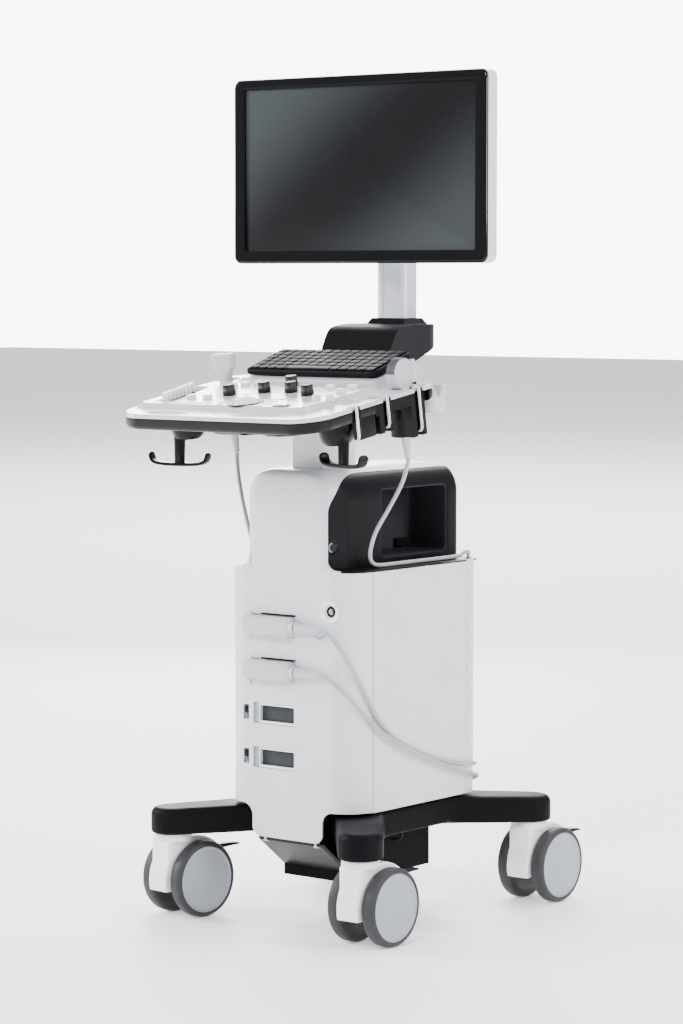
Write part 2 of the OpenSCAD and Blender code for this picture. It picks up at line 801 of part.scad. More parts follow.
// Cross-section of the monitor pole, larger by t all round
module pole_section(t) {
    rounded(-30 - t, 30 + t, mast_y - 22 - t, mast_y + 22 + t, 13 + t, 13 + t);
}

module monitor_pole() {
    color([0.82, 0.83, 0.85]) {
        difference() {
            plan_view(940.2, 1235) pole_section(0);
            translate([-12, mast_y - 23, 980]) cube([2, 2.5, 260]);
        }
        translate([0, mast_y, 1234]) cylinder(r = 14, h = 27);
    }
}

module monitor_bracket() {
    color([0.2, 0.2, 0.21]) {
        difference() {
            union() {
                translate([0, mast_y, 1236]) cylinder(r = 23, h = 26);
                translate([-14, 68, 1236]) cube([28, 50, 26]);
            }
            translate([0, mast_y, 1200]) cylinder(r = 14.05, h = 80);
        }
        translate([-28, tilt_y, tilt_z]) rotate([0, 90, 0]) cylinder(r = 5, h = 56);
    }
}

module monitor_block(grow, y0, y1) {
    front_view(y0, y1) translate([0, screen_z - 1.5])
        rounded(-monitor_w / 2 - grow, monitor_w / 2 + grow, -monitor_h / 2 - grow, monitor_h / 2 + grow,
            13 + min(grow, 0) * 0.3, 13 + min(grow, 0) * 0.3);
}

module monitor_rear_case() {
    color("white") difference() {
        union() {
            monitor_block(0, 12.2, 36);
            hull() {
                monitor_block(0, 35.5, 36);
                monitor_block(-34, 60, 60.5);
            }
            for (side = [-1, 1]) translate([side * 21.5 - 6.5, 55, tilt_z - 11]) cube([13, 25, 22]);
        }
        monitor_block(-4, 12, 34);
        monitor_block(-36, 30, 57);
        translate([-40, tilt_y, tilt_z]) rotate([0, 90, 0]) cylinder(r = 5.05, h = 80);
    }
}

// Block in front of the screen, larger by grow all round, from y0 on
module screen_block(grow, y0, depth) {
    translate([-screen_w / 2 - grow, y0, screen_z - screen_h / 2 - grow])
        cube([screen_w + 2 * grow, depth, screen_h + 2 * grow]);
}

module monitor_bezel() {
    color([0.05, 0.05, 0.05]) difference() {
        union() {
            monitor_block(0, 8, 12);
            monitor_block(-4.4, 11.5, 22);
        }
        screen_block(0, 0, 40);
        screen_block(4, 12, 40);
    }
}

module monitor_screen() {
    color([0.12, 0.12, 0.13])
        screen_block(3.7, 12.2, 9);
}

// ---------------------------------------------------------------- nodes

base_casting();
chassis_frame();
power_box();
base_front_panel();
front_cover();
side_panel_left();
side_panel_right();
rear_cover();
bay_liner();
port_panel();
electronics_rack();
cooling_fans();
mains_inlet();
aux_socket();
lift_sleeve();
probe_connectors();
cable_right_lower();
cable_left_lower();
power_button();
port_latches();
caster_housing(0);  // caster_front_left_housing
caster_wheels(0);  // caster_front_left_wheels
caster_pedal(0);  // caster_front_left_pedal
caster_housing(1);  // caster_front_right_housing
caster_wheels(1);  // caster_front_right_wheels
caster_pedal(1);  // caster_front_right_pedal
caster_housing(2);  // caster_rear_left_housing
caster_wheels(2);  // caster_rear_left_wheels
caster_pedal(2);  // caster_rear_left_pedal
caster_housing(3);  // caster_rear_right_housing
caster_wheels(3);  // caster_rear_right_wheels
caster_pedal(3);  // caster_rear_right_pedal
lift_column();
console_base();
console_deck();
keyboard_body();
keycaps();
trackball();
gain_sliders();
push_switches();
rotary_knob(0);  // rotary_knob_1
rotary_knob(1);  // rotary_knob_2
rotary_knob(2);  // rotary_knob_3
rotary_knob(3);  // rotary_knob_4
rotary_knob(4);  // rotary_knob_5
cable_hooks();
probe_holder_left();
probe_holder_right();
gel_cup();
linear_probe();
convex_probe();
cable_right_upper();
cable_left_upper();
speaker_housing();
monitor_pole();
monitor_bracket();
monitor_rear_case();
monitor_bezel();
monitor_screen();
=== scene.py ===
import bpy
import bmesh
import json
import math
import numpy as np
from mathutils import Matrix, Vector
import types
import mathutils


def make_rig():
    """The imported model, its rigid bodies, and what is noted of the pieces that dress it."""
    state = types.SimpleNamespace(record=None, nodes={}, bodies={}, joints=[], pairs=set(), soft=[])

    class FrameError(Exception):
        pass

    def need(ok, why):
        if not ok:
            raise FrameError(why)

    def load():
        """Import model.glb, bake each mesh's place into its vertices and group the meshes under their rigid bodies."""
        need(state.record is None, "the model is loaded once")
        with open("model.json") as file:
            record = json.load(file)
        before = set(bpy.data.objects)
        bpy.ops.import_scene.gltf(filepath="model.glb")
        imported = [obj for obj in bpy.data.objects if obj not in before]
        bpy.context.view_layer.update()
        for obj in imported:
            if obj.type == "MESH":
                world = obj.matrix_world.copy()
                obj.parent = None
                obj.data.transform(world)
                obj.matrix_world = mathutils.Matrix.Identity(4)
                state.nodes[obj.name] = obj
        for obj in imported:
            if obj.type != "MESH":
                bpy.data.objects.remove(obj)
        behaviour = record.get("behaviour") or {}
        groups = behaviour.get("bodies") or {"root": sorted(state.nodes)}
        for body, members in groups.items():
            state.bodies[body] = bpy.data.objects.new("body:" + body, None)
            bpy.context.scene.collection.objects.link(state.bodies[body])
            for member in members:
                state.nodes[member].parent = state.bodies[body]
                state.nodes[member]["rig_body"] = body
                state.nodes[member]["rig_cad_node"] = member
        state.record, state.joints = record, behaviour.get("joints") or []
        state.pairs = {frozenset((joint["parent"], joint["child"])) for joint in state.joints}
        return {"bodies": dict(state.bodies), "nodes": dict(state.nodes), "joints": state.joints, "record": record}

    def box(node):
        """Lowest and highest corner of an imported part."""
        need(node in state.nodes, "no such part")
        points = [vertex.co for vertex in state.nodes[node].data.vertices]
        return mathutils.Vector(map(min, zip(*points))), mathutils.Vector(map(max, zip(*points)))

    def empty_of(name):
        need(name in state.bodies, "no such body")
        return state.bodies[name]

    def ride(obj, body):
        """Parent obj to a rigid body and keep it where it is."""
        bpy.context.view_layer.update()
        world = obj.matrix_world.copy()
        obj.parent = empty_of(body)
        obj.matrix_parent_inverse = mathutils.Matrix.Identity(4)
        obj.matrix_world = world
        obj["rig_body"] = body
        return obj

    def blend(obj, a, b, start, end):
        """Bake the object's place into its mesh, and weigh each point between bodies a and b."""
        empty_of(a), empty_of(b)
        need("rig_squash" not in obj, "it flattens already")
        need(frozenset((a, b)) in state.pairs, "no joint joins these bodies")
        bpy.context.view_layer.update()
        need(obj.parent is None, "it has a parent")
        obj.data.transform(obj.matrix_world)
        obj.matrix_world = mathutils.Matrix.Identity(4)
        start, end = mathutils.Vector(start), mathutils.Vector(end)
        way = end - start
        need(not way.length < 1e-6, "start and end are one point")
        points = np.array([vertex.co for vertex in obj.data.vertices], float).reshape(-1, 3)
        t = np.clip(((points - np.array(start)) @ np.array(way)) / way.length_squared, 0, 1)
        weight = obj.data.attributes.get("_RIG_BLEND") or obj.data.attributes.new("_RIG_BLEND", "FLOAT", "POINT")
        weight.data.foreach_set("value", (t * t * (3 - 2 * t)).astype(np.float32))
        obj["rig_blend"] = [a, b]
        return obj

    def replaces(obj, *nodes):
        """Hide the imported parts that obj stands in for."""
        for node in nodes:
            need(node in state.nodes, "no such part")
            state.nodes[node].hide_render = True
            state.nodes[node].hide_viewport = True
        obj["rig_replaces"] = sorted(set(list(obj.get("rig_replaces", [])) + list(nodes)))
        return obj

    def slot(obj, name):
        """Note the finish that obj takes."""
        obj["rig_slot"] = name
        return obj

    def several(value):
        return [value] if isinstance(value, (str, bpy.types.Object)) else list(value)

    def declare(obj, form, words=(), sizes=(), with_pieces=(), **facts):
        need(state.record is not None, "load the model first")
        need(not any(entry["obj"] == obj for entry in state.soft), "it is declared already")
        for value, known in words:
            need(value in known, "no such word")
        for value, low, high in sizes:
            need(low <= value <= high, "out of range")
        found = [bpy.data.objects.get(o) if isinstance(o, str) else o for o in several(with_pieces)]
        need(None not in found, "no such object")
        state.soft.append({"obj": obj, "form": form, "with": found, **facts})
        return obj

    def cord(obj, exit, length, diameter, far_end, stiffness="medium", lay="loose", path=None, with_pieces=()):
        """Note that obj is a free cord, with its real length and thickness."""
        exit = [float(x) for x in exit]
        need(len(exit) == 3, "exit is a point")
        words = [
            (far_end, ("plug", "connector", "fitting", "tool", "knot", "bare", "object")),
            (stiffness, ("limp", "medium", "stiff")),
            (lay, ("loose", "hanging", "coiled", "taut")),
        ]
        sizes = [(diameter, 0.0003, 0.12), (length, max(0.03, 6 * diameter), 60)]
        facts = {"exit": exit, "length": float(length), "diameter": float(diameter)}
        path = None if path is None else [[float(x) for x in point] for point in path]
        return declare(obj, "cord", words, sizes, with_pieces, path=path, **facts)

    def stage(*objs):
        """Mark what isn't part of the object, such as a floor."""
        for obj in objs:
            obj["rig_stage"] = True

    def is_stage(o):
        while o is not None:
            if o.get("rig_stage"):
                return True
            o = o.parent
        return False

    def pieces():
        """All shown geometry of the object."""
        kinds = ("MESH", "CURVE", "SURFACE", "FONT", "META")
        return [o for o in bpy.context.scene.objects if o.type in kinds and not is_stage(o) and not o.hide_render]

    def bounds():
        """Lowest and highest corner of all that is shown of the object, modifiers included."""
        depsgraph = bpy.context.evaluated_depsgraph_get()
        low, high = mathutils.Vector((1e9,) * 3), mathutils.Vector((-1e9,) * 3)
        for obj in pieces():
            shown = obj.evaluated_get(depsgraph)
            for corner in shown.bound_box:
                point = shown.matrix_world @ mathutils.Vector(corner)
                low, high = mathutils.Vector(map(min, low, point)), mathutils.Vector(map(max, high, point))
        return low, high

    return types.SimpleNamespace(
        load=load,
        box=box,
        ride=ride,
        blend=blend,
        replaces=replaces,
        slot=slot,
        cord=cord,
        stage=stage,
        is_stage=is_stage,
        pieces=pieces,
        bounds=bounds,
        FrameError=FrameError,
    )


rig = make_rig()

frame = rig.load()
cad_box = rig.bounds()
scene = bpy.context.scene
MM = 0.001
joints = {j["name"]: j for j in frame["joints"]}


def in_scene(name, data):
    """A new object that is linked to the scene."""
    obj = bpy.data.objects.new(name, data)
    scene.collection.objects.link(obj)
    return obj


def modify(obj, name, kind, **settings):
    """A modifier with its settings."""
    modifier = obj.modifiers.new(name, kind)
    for key, value in settings.items():
        setattr(modifier, key, value)


# ---------------------------------------------------------------- camera

camera = in_scene("camera", bpy.data.cameras.new("camera"))
camera.location = (3.1542, -4.0294, 1.0418)
camera.rotation_euler = (math.radians(85.72), 0, math.radians(38.27))
camera.data.sensor_width = 36
camera.data.lens = 109.98
camera.data.dof.use_dof = False
scene.camera = camera


# ---------------------------------------------------------------- materials

def grow(tree, kind, values=(), links=(), **settings):
    """A new shader node with its settings, and its inputs' values and links by name or number."""
    node = tree.nodes.new("ShaderNode" + kind)
    for key, value in settings.items():
        setattr(node, key, value)
    for key, value in dict(values).items():
        node.inputs[key].default_value = value
    for key, source in dict(links).items():
        tree.links.new(source, node.inputs[key])
    return node


def shader(name, color, rough, metallic=0.0, coat=0.0, specular=0.5):
    """A material with its principled shader and object coordinates."""
    material = bpy.data.materials.new(name)
    material.use_nodes = True
    principled = material.node_tree.nodes["Principled BSDF"]
    for key, value in {
            "Base Color": (*color, 1), "Roughness": rough, "Metallic": metallic, "Coat Weight": coat,
            "Coat Roughness": 0.08, "Specular IOR Level": specular}.items():
        principled.inputs[key].default_value = value
    return material, principled, grow(material.node_tree, "TexCoord")


def noise(material, place, scale, detail):
    """The value output of a noise texture in object coordinates."""
    return grow(material.node_tree, "TexNoise", {"Scale": scale, "Detail": detail},
                {"Vector": place.outputs["Object"]}).outputs["Fac"]


def remap(material, source, low, high, start=0.3, stop=0.7):
    return grow(material.node_tree, "MapRange", {
        "From Min": start, "From Max": stop, "To Min": low, "To Max": high},
        {"Value": source}).outputs["Result"]


def shade(material, source, low, high, start=0.3, stop=0.7):
    """The base colour runs from low to high along source."""
    tree = material.node_tree
    ramp = grow(tree, "ValToRGB", links={"Fac": source})
    for element, position, color in zip(ramp.color_ramp.elements, (start, stop), (low, high)):
        element.position = position
        element.color = (*color, 1)
    tree.links.new(ramp.outputs["Color"], tree.nodes["Principled BSDF"].inputs["Base Color"])
    return ramp.color_ramp


def tint(material, source, color, vary):
    """Colour drifts by vary either side of color along source, a value from 0 to 1."""
    return shade(material, source, [c * (1 - vary) for c in color], [min(1, c * (1 + vary)) for c in color])


def gloss(material, principled, source, low, high):
    """Roughness runs from low to high along source."""
    material.node_tree.links.new(remap(material, source, low, high), principled.inputs["Roughness"])


def bump(material, principled, source, strength, distance):
    node = grow(material.node_tree, "Bump", {"Strength": strength, "Distance": distance},
        {"Height": source})
    material.node_tree.links.new(node.outputs["Normal"], principled.inputs["Normal"])


def plastic(name, color, rough, grain=900, depth=0.00008, vary=0.02, coat=0.0, spread=0.05, specular=0.5):
    """Moulded plastic: fine spark-eroded grain, slow drift in colour and gloss."""
    material, principled, place = shader(name, color, rough, coat=coat, specular=specular)
    slow = noise(material, place, 9, 3)
    tint(material, slow, color, vary)
    gloss(material, principled, slow, rough - spread, rough + spread)
    if depth:
        bump(material, principled, noise(material, place, grain, 2), 0.35, depth)
    return material


def painted_metal(name, color, rough, metallic):
    """Satin metallic paint: bright flakes under a soft coat."""
    material, principled, place = shader(name, color, rough, metallic=metallic, coat=0.25)
    flakes = noise(material, place, 2600, 1)
    tint(material, flakes, color, 0.06)
    gloss(material, principled, noise(material, place, 6, 2), rough - 0.04, rough + 0.06)
    bump(material, principled, flakes, 0.12, 0.00003)
    return material


def perforated(name, color, pitch):
    """Black plastic with a fine grid of sound holes, seen from above and in front; the holes are painted darker,
    painted shade inside them.
    """
    material, principled, place = shader(name, color, 0.55, specular=0.04)
    tree = material.node_tree
    apart = grow(tree, "SeparateXYZ", links={"Vector": place.outputs["Object"]})
    along = grow(tree, "Math", links={0: apart.outputs["Y"], 1: apart.outputs["Z"]}, operation="SUBTRACT")
    flat = grow(tree, "CombineXYZ", links={"X": apart.outputs["X"], "Y": along.outputs["Value"]})
    cells = grow(tree, "TexVoronoi", {"Scale": 1 / pitch, "Randomness": 0.0},
                 {"Vector": flat.outputs["Vector"]}, voronoi_dimensions="2D")
    hole = remap(material, cells.outputs["Distance"], 0.0, 1.0, 0.25, 0.38)
    # painted shade: the holes' colour is a darker black than the plastic around them
    tint(material, hole, color, 0.0).elements[0].color = (0.002, 0.002, 0.002, 1)
    bump(material, principled, hole, 0.6, 0.0006)
    return material


WHITE = plastic("white_cover", (0.66, 0.685, 0.725), 0.38, coat=0.08)
DECK_WHITE = plastic("deck_white", (0.60, 0.615, 0.645), 0.28, grain=1400, depth=0.00004, coat=0.2)
KEY_WHITE = plastic("key_white", (0.84, 0.845, 0.86), 0.3, depth=0.00003)
RIM_WHITE = plastic("rim_white", (0.92, 0.925, 0.935), 0.22, coat=0.3, depth=0.00002)
CASTER_WHITE = plastic("caster_white", (0.70, 0.72, 0.75), 0.36, coat=0.1)
BLACK = plastic("black_plastic", (0.004, 0.004, 0.005), 0.5, grain=700, depth=0.00012, specular=0.05)
BLACK_SATIN = plastic("black_satin", (0.0045, 0.0045, 0.0055), 0.32, grain=900, depth=0.00005,
    specular=0.16)
# The inside of the bay is this black lightened about four times over the liner's: painted light where shade leaves the
# bay too dark.
BAY_INSIDE_LIT = plastic("bay_inside_painted_light", (0.02, 0.02, 0.024), 0.46, grain=500, depth=0.0001, specular=0.16)
BAY_BLACK = plastic("bay_black", (0.005, 0.005, 0.0065), 0.42, grain=500, depth=0.0001, specular=0.1)
CHARCOAL = plastic("charcoal", (0.022, 0.023, 0.027), 0.42, grain=800, depth=0.0001, specular=0.3)
PORT_GREY = plastic("port_grey", (0.022, 0.026, 0.031), 0.42, specular=0.3)
MID_GREY = plastic("mid_grey", (0.3, 0.315, 0.34), 0.4)
SMOKE = plastic("smoke", (0.007, 0.007, 0.009), 0.32, depth=0.00003, specular=0.25)
GLOSS_BLACK = plastic("gloss_black", (0.002, 0.002, 0.0025), 0.07, depth=0.0, spread=0.02, specular=0.3)
KEY_BLACK = plastic("key_black", (0.006, 0.006, 0.0075), 0.55, grain=1200, depth=0.00006, specular=0.07)
KNOB_BLACK = plastic("knob_black", (0.006, 0.006, 0.0075), 0.34, grain=1500, depth=0.00008, specular=0.3)
TYRE = plastic("tyre", (0.03, 0.03, 0.033), 0.55, grain=300, depth=0.00015, vary=0.08, specular=0.3)
DISC_GREY = plastic("disc_grey", (0.29, 0.315, 0.36), 0.38, coat=0.1)
SILVER = painted_metal("silver_paint", (0.6, 0.625, 0.67), 0.34, 0.3)
# A much lighter copy of the silver paint: painted light that makes up for the console's shadow on the lift column. The
# aux socket shares it.
SILVER_LIT = painted_metal("silver_painted_light", (0.9, 0.915, 0.94), 0.34, 0.05)
STEEL = painted_metal("steel", (0.5, 0.5, 0.51), 0.3, 1.0)
CABLE = plastic("cable", (0.40, 0.40, 0.42), 0.4, grain=400, depth=0.0001, vary=0.03)
PROBE_WHITE = plastic("probe_white", (0.52, 0.515, 0.545), 0.36, depth=0.00004)
PROBE_GREY = plastic("probe_grey", (0.5, 0.49, 0.52), 0.4, depth=0.00004)
LENS = plastic("lens", (0.06, 0.06, 0.067), 0.5, grain=600, depth=0.0001, specular=0.3)
GEL_GREY = plastic("gel_grey", (0.56, 0.58, 0.615), 0.38)
BOARD = plastic("board", (0.03, 0.12, 0.06), 0.5)
SPEAKER = perforated("speaker_mesh", (0.004, 0.004, 0.005), 0.0032)
SCREEN = plastic("screen_glass", (0.018, 0.018, 0.02), 0.13, depth=0.0, spread=0.01, specular=0.3)
LAMP = plastic("lamp_green", (0.12, 0.42, 0.36), 0.3, depth=0.0)
CLIP = plastic("clip_blue", (0.2, 0.38, 0.6), 0.35)
TAN = plastic("socket_tan", (0.5, 0.4, 0.25), 0.4)
SEAM = plastic("seam", (0.09, 0.095, 0.105), 0.6, specular=0.2)


def painted_screen_reflection():
    """The dark screen's base colour is painted a little lighter towards its upper left and lower right corners, a
    painted reflection.
    """
    tree = SCREEN.node_tree
    place = tree.nodes["Texture Coordinate"]
    apart = grow(tree, "SeparateXYZ", links={"Vector": place.outputs["Object"]})
    across = grow(tree, "Math", {1: 0.72, 2: -1.22}, {0: apart.outputs["X"]}, operation="MULTIPLY_ADD")
    slant = grow(tree, "Math", links={0: apart.outputs["Z"], 1: across.outputs["Value"]},
        operation="SUBTRACT")
    centred = grow(tree, "Math", {1: 2.44}, {0: slant.outputs["Value"]}, operation="SUBTRACT")
    size = grow(tree, "Math", links={0: centred.outputs["Value"]}, operation="ABSOLUTE")
    # painted reflection: the screen's colour runs from near black to a lighter grey away from its middle diagonal
    shade(SCREEN, size.outputs["Value"], (0.006, 0.006, 0.007), (0.04, 0.046, 0.05), 0.02,
        0.27).interpolation = "EASE"


painted_screen_reflection()


# ---------------------------------------------------------------- mesh helpers

def piece(name, verts, faces, material, body, place=None, sharp=38, replaces=(), slot=None):
    """A mesh in millimetres becomes a piece that rides on a body. place is a matrix in metres."""
    mesh = bpy.data.meshes.new(name)
    mesh.from_pydata([[c * MM for c in v] for v in verts], [], faces)
    return finish_mesh(name, mesh, material, body, place, sharp, replaces, slot)


def finish_mesh(name, mesh, material, body, place=None, sharp=38, replaces=(), slot=None):
    """Weld the mesh and shade it smooth, with its edges over sharp degrees kept."""
    bm = bmesh.new()
    bm.from_mesh(mesh)
    bmesh.ops.remove_doubles(bm, verts=bm.verts, dist=1e-6)
    bmesh.ops.recalc_face_normals(bm, faces=bm.faces)
    for face in bm.faces:
        face.smooth = True
    for edge in bm.edges:
        edge.smooth = edge.calc_face_angle(0) < math.radians(sharp)
    bm.to_mesh(mesh)
    bm.free()
    mesh.materials.clear()
    mesh.materials.append(material)
    return put(name, mesh, body, place, replaces, slot)


def put(name, mesh, body, place=None, replaces=(), slot=None):
    """The mesh rides on the body, and stands for the CAD nodes in replaces."""
    obj = in_scene(name, mesh)
    if place is not None:
        obj.matrix_world = place
    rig.ride(obj, body)
    if replaces:
        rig.replaces(obj, *replaces)
    if slot:
        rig.slot(obj, slot)
    return obj


def lathe(profile, steps=48):
    """Turned shape about Z from (radius, height) points."""
    verts, faces = [], []
    for r, z in profile:
        for k in range(steps):
            a = 2 * math.pi * k / steps
            verts.append((r * math.cos(a), r * math.sin(a), z))
    for i in range(len(profile) - 1):
        for k in range(steps):
            n = (k + 1) % steps
            faces.append((i * steps + k, i * steps + n, (i + 1) * steps + n, (i + 1) * steps + k))
    if profile[0][0] > 0:
        faces.append(tuple(reversed(range(steps))))
    if profile[-1][0] > 0:
        faces.append(tuple(range((len(profile) - 1) * steps, len(profile) * steps)))
    return verts, faces


def ring_of(profile, steps=48):
    """Turned ring about Z from a closed loop of (radius, height) points."""
    verts, faces = lathe(profile, steps)
    last = (len(profile) - 1) * steps
    faces = [f for f in faces if len(f) == 4 or steps == 4]
    faces += [(last + k, last + (k + 1) % steps, (k + 1) % steps, k) for k in range(steps)]
    return verts, faces


def loft(rings, closed=True):
    """Skin through rings of equal length, capped at both ends."""
    n = len(rings[0])
    verts = [p for ring in rings for p in ring]
    faces = []
    for i in range(len(rings) - 1):
        for k in range(n):
            m = (k + 1) % n
            faces.append((i * n + k, i * n + m, (i + 1) * n + m, (i + 1) * n + k))
    if closed:
        faces.append(tuple(reversed(range(n))))
        faces.append(tuple(range((len(rings) - 1) * n, len(rings) * n)))
    return verts, faces


def joined(*parts):
    """Several mesh parts as one."""
    verts, faces = [], []
    for v, f in parts:
        base = len(verts)
        verts += list(v)
        faces += [tuple(base + i for i in face) for face in f]
    return verts, faces


def moved(part, matrix):
    """Mesh part in millimetres through a matrix whose translation is in millimetres too."""
    return [tuple(matrix @ Vector(v)) for v in part[0]], part[1]


def shift(x, y, z):
    return Matrix.Translation((x, y, z))


def turn(angle, axis):
    return Matrix.Rotation(math.radians(angle), 4, axis)


def box_ring(hx, hy, r, z, cx=0.0, cy=0.0, corner=6):
    """Rounded rectangle at height z, counter-clockwise."""
    r = min(r, hx - 0.01, hy - 0.01)
    ring = []
    for sx, sy, start in ((1, 1, 0), (-1, 1, 90), (-1, -1, 180), (1, -1, 270)):
        for k in range(corner + 1):
            a = math.radians(start + 90 * k / corner)
            ring.append((cx + sx * (hx - r) + r * math.cos(a), cy + sy * (hy - r) + r * math.sin(a), z))
    return ring


def soft_box(x0, x1, y0, y1, z0, z1, r=3.0, edge=1.5, corner=6):
    """Box with rounded upright corners and rounded top and bottom edges."""
    hx, hy, cx, cy = (x1 - x0) / 2, (y1 - y0) / 2, (x0 + x1) / 2, (y0 + y1) / 2
    edge = min(edge, hx * 0.9, hy * 0.9, (z1 - z0) / 2 - 0.001)
    r = max(r, edge + 0.2)
    rings = []
    for z, inward, turns in ((z0, 1, (4, 3, 2, 1, 0)), (z1, -1, (0, 1, 2, 3, 4))):
        for k in turns:
            a = math.radians(22.5 * k)
            inset = edge * (1 - math.cos(a))
            rings.append(box_ring(
                hx - inset, hy - inset, r - inset, z + inward * edge * (1 - math.sin(a)), cx, cy, corner))
    return loft(rings)


def smooth_path(points, spacing):
    """Points along a smooth curve through the given ones, about spacing apart."""
    p = [np.array(q, float) for q in points]
    p = [2 * p[0] - p[1], *p, 2 * p[-1] - p[-2]]
    out = []
    for i in range(1, len(p) - 2):
        n = max(2, int(np.linalg.norm(p[i + 1] - p[i]) / spacing))
        for k in range(n):
            t = k / n
            out.append(0.5 * (2 * p[i] + (p[i + 1] - p[i - 1]) * t
                              + (2 * p[i - 1] - 5 * p[i] + 4 * p[i + 1] - p[i + 2]) * t * t
                              + (3 * p[i] - p[i - 1] - 3 * p[i + 1] + p[i + 2]) * t ** 3))
    out.append(p[-2])
    return out


def sweep(path, section, start_side=(0, 0, 1)):
    """Rings of section, a function of the share along the path giving (side, up) offsets, along path."""
    path = [np.array(q, float) for q in path]
    side = np.array(start_side, float)
    rings = []
    for i, q in enumerate(path):
        t = path[min(i + 1, len(path) - 1)] - path[max(i - 1, 0)]
        t /= np.linalg.norm(t)
        side = side - side.dot(t) * t
        side /= np.linalg.norm(side)
        up = np.cross(t, side)
        rings.append([tuple(q + a * side + b * up) for a, b in section(i / (len(path) - 1))])
    return loft(rings)


def circle(r, steps=16):
    return [(r * math.cos(2 * math.pi * k / steps),
        r * math.sin(2 * math.pi * k / steps)) for k in range(steps)]


def smoothstep(v):
    v = np.clip(v, 0, 1)
    return v * v * (3 - 2 * v)


def in_box(x, y, x0, x1, y0, y1, r):
    """Distance inside a rounded rectangle, negative outside."""
    qx = np.abs(x - (x0 + x1) / 2) - (x1 - x0) / 2 + r
    qy = np.abs(y - (y0 + y1) / 2) - (y1 - y0) / 2 + r
    return r - np.hypot(np.maximum(qx, 0), np.maximum(qy, 0)) - np.minimum(np.maximum(qx, qy), 0)


def plate(inside, top, bottom, bounds, step):
    """Plate over the area where inside(x, y) > 0, between the surfaces top and bottom(x, y, inside)."""
    x0, x1, y0, y1 = bounds
    xs = np.arange(x0, x1 + step, step)
    ys = np.arange(y0, y1 + step, step)
    gx, gy = np.meshgrid(xs, ys, indexing="ij")
    f = inside(gx, gy)
    dx, dy = np.gradient(f, step)
    near = np.abs(f) < 0.35 * step
    slope = np.maximum(dx * dx + dy * dy, 0.2)
    gx = np.where(near, gx - f * dx / slope, gx)
    gy = np.where(near, gy - f * dy / slope, gy)
    f = np.where(near, 0.0, f)
    points, index = [], {}

    def grid_point(i, j):
        key = (i, j)
        if key not in index:
            index[key] = len(points)
            points.append((gx[i, j], gy[i, j], f[i, j]))
        return index[key]

    def cut_point(a, b):
        key = (min(a, b), max(a, b))
        if key not in index:
            t = f[a] / (f[a] - f[b])
            index[key] = len(points)
            points.append((gx[a] + t * (gx[b] - gx[a]), gy[a] + t * (gy[b] - gy[a]), 0.0))
        return index[key]

    faces = []
    for i in range(len(xs) - 1):
        for j in range(len(ys) - 1):
            corners = [(i, j), (i + 1, j), (i + 1, j + 1), (i, j + 1)]
            values = [f[c] for c in corners]
            if max(values) <= 0:
                continue
            ring = []
            for k in range(4):
                a, b = corners[k], corners[(k + 1) % 4]
                if f[a] >= 0:
                    ring.append(grid_point(*a))
                if f[a] * f[b] < 0:
                    ring.append(cut_point(a, b))
            if len(ring) > 2:
                faces.append(tuple(ring))
    p = np.array(points)
    n = len(p)
    zt, zb = top(p[:, 0], p[:, 1], p[:, 2]), bottom(p[:, 0], p[:, 1], p[:, 2])
    verts = [tuple(v) for v in np.column_stack([p[:, 0], p[:, 1], zt])]
    verts += [tuple(v) for v in np.column_stack([p[:, 0], p[:, 1], zb])]
    used = {}
    for face in faces:
        for k in range(len(face)):
            edge = (face[k], face[(k + 1) % len(face)])
            used[edge] = used.get(edge, 0) + 1
    walls = [(b, a, a + n, b + n) for a, b in used if (b, a) not in used]
    return verts, faces + [tuple(k + n for k in reversed(face)) for face in faces] + walls


def level(height):
    """A flat surface for plate."""
    return lambda x, y, inside: np.full_like(inside, height)


def rim(inside, r):
    """How far a rounded rim of radius r falls below its flat part, for a distance inside the edge."""
    d = np.clip(r - inside, 0, r)
    return r - np.sqrt(np.maximum(r * r - d * d, 0))


def dressed(node, material, width=1.0, segments=2, angle=32, cut_above=None, name=None, slot=None):
    """The CAD node's own shape with its sharp edges rounded, standing for the node."""
    source = frame["nodes"][node]
    mesh = bpy.data.meshes.new(name or node + "_shell")
    bm = bmesh.new()
    bm.from_mesh(source.data)
    bm.transform(source.matrix_world)
    bmesh.ops.remove_doubles(bm, verts=bm.verts, dist=1e-5)
    if cut_above is not None:
        bmesh.ops.bisect_plane(
            bm, geom=[*bm.verts, *bm.edges, *bm.faces], plane_co=(0, 0, cut_above * MM),
            plane_no=(0, 0, 1), clear_outer=True)
    bmesh.ops.dissolve_limit(bm, angle_limit=math.radians(0.8), verts=bm.verts, edges=bm.edges)
    for face in bm.faces:
        face.smooth = True
    bm.to_mesh(mesh)
    bm.free()
    mesh.materials.append(material)
    body = next(b for b, nodes in frame["record"]["behaviour"]["bodies"].items() if node in nodes)
    obj = put(name or node + "_shell", mesh, body, None, (node,), slot)
    if width:
        modify(obj, "rounding", "BEVEL", limit_method="ANGLE", angle_limit=math.radians(angle),
               width=width * MM, segments=segments, use_clamp_overlap=True)
    modify(obj, "shading", "WEIGHTED_NORMAL", keep_sharp=True)
    return obj


def softened(node, voxel, rounds, to_local=None):
    """A rounded copy of a CAD node's mesh, in metres, with all its edges melted a little."""
    source = frame["nodes"][node]
    mesh = source.data.copy()
    mesh.transform(source.matrix_world)
    if to_local is not None:
        mesh.transform(to_local)
    obj = in_scene("soften_" + node, mesh)
    modify(obj, "remesh", "REMESH", mode="VOXEL", voxel_size=voxel * MM)
    modify(obj, "smooth", "SMOOTH", factor=0.5, iterations=rounds)
    depsgraph = bpy.context.evaluated_depsgraph_get()
    made = bpy.data.meshes.new_from_object(obj.evaluated_get(depsgraph))
    bpy.data.objects.remove(obj)
    for polygon in made.polygons:
        polygon.use_smooth = True
    return made


# ---------------------------------------------------------------- cables

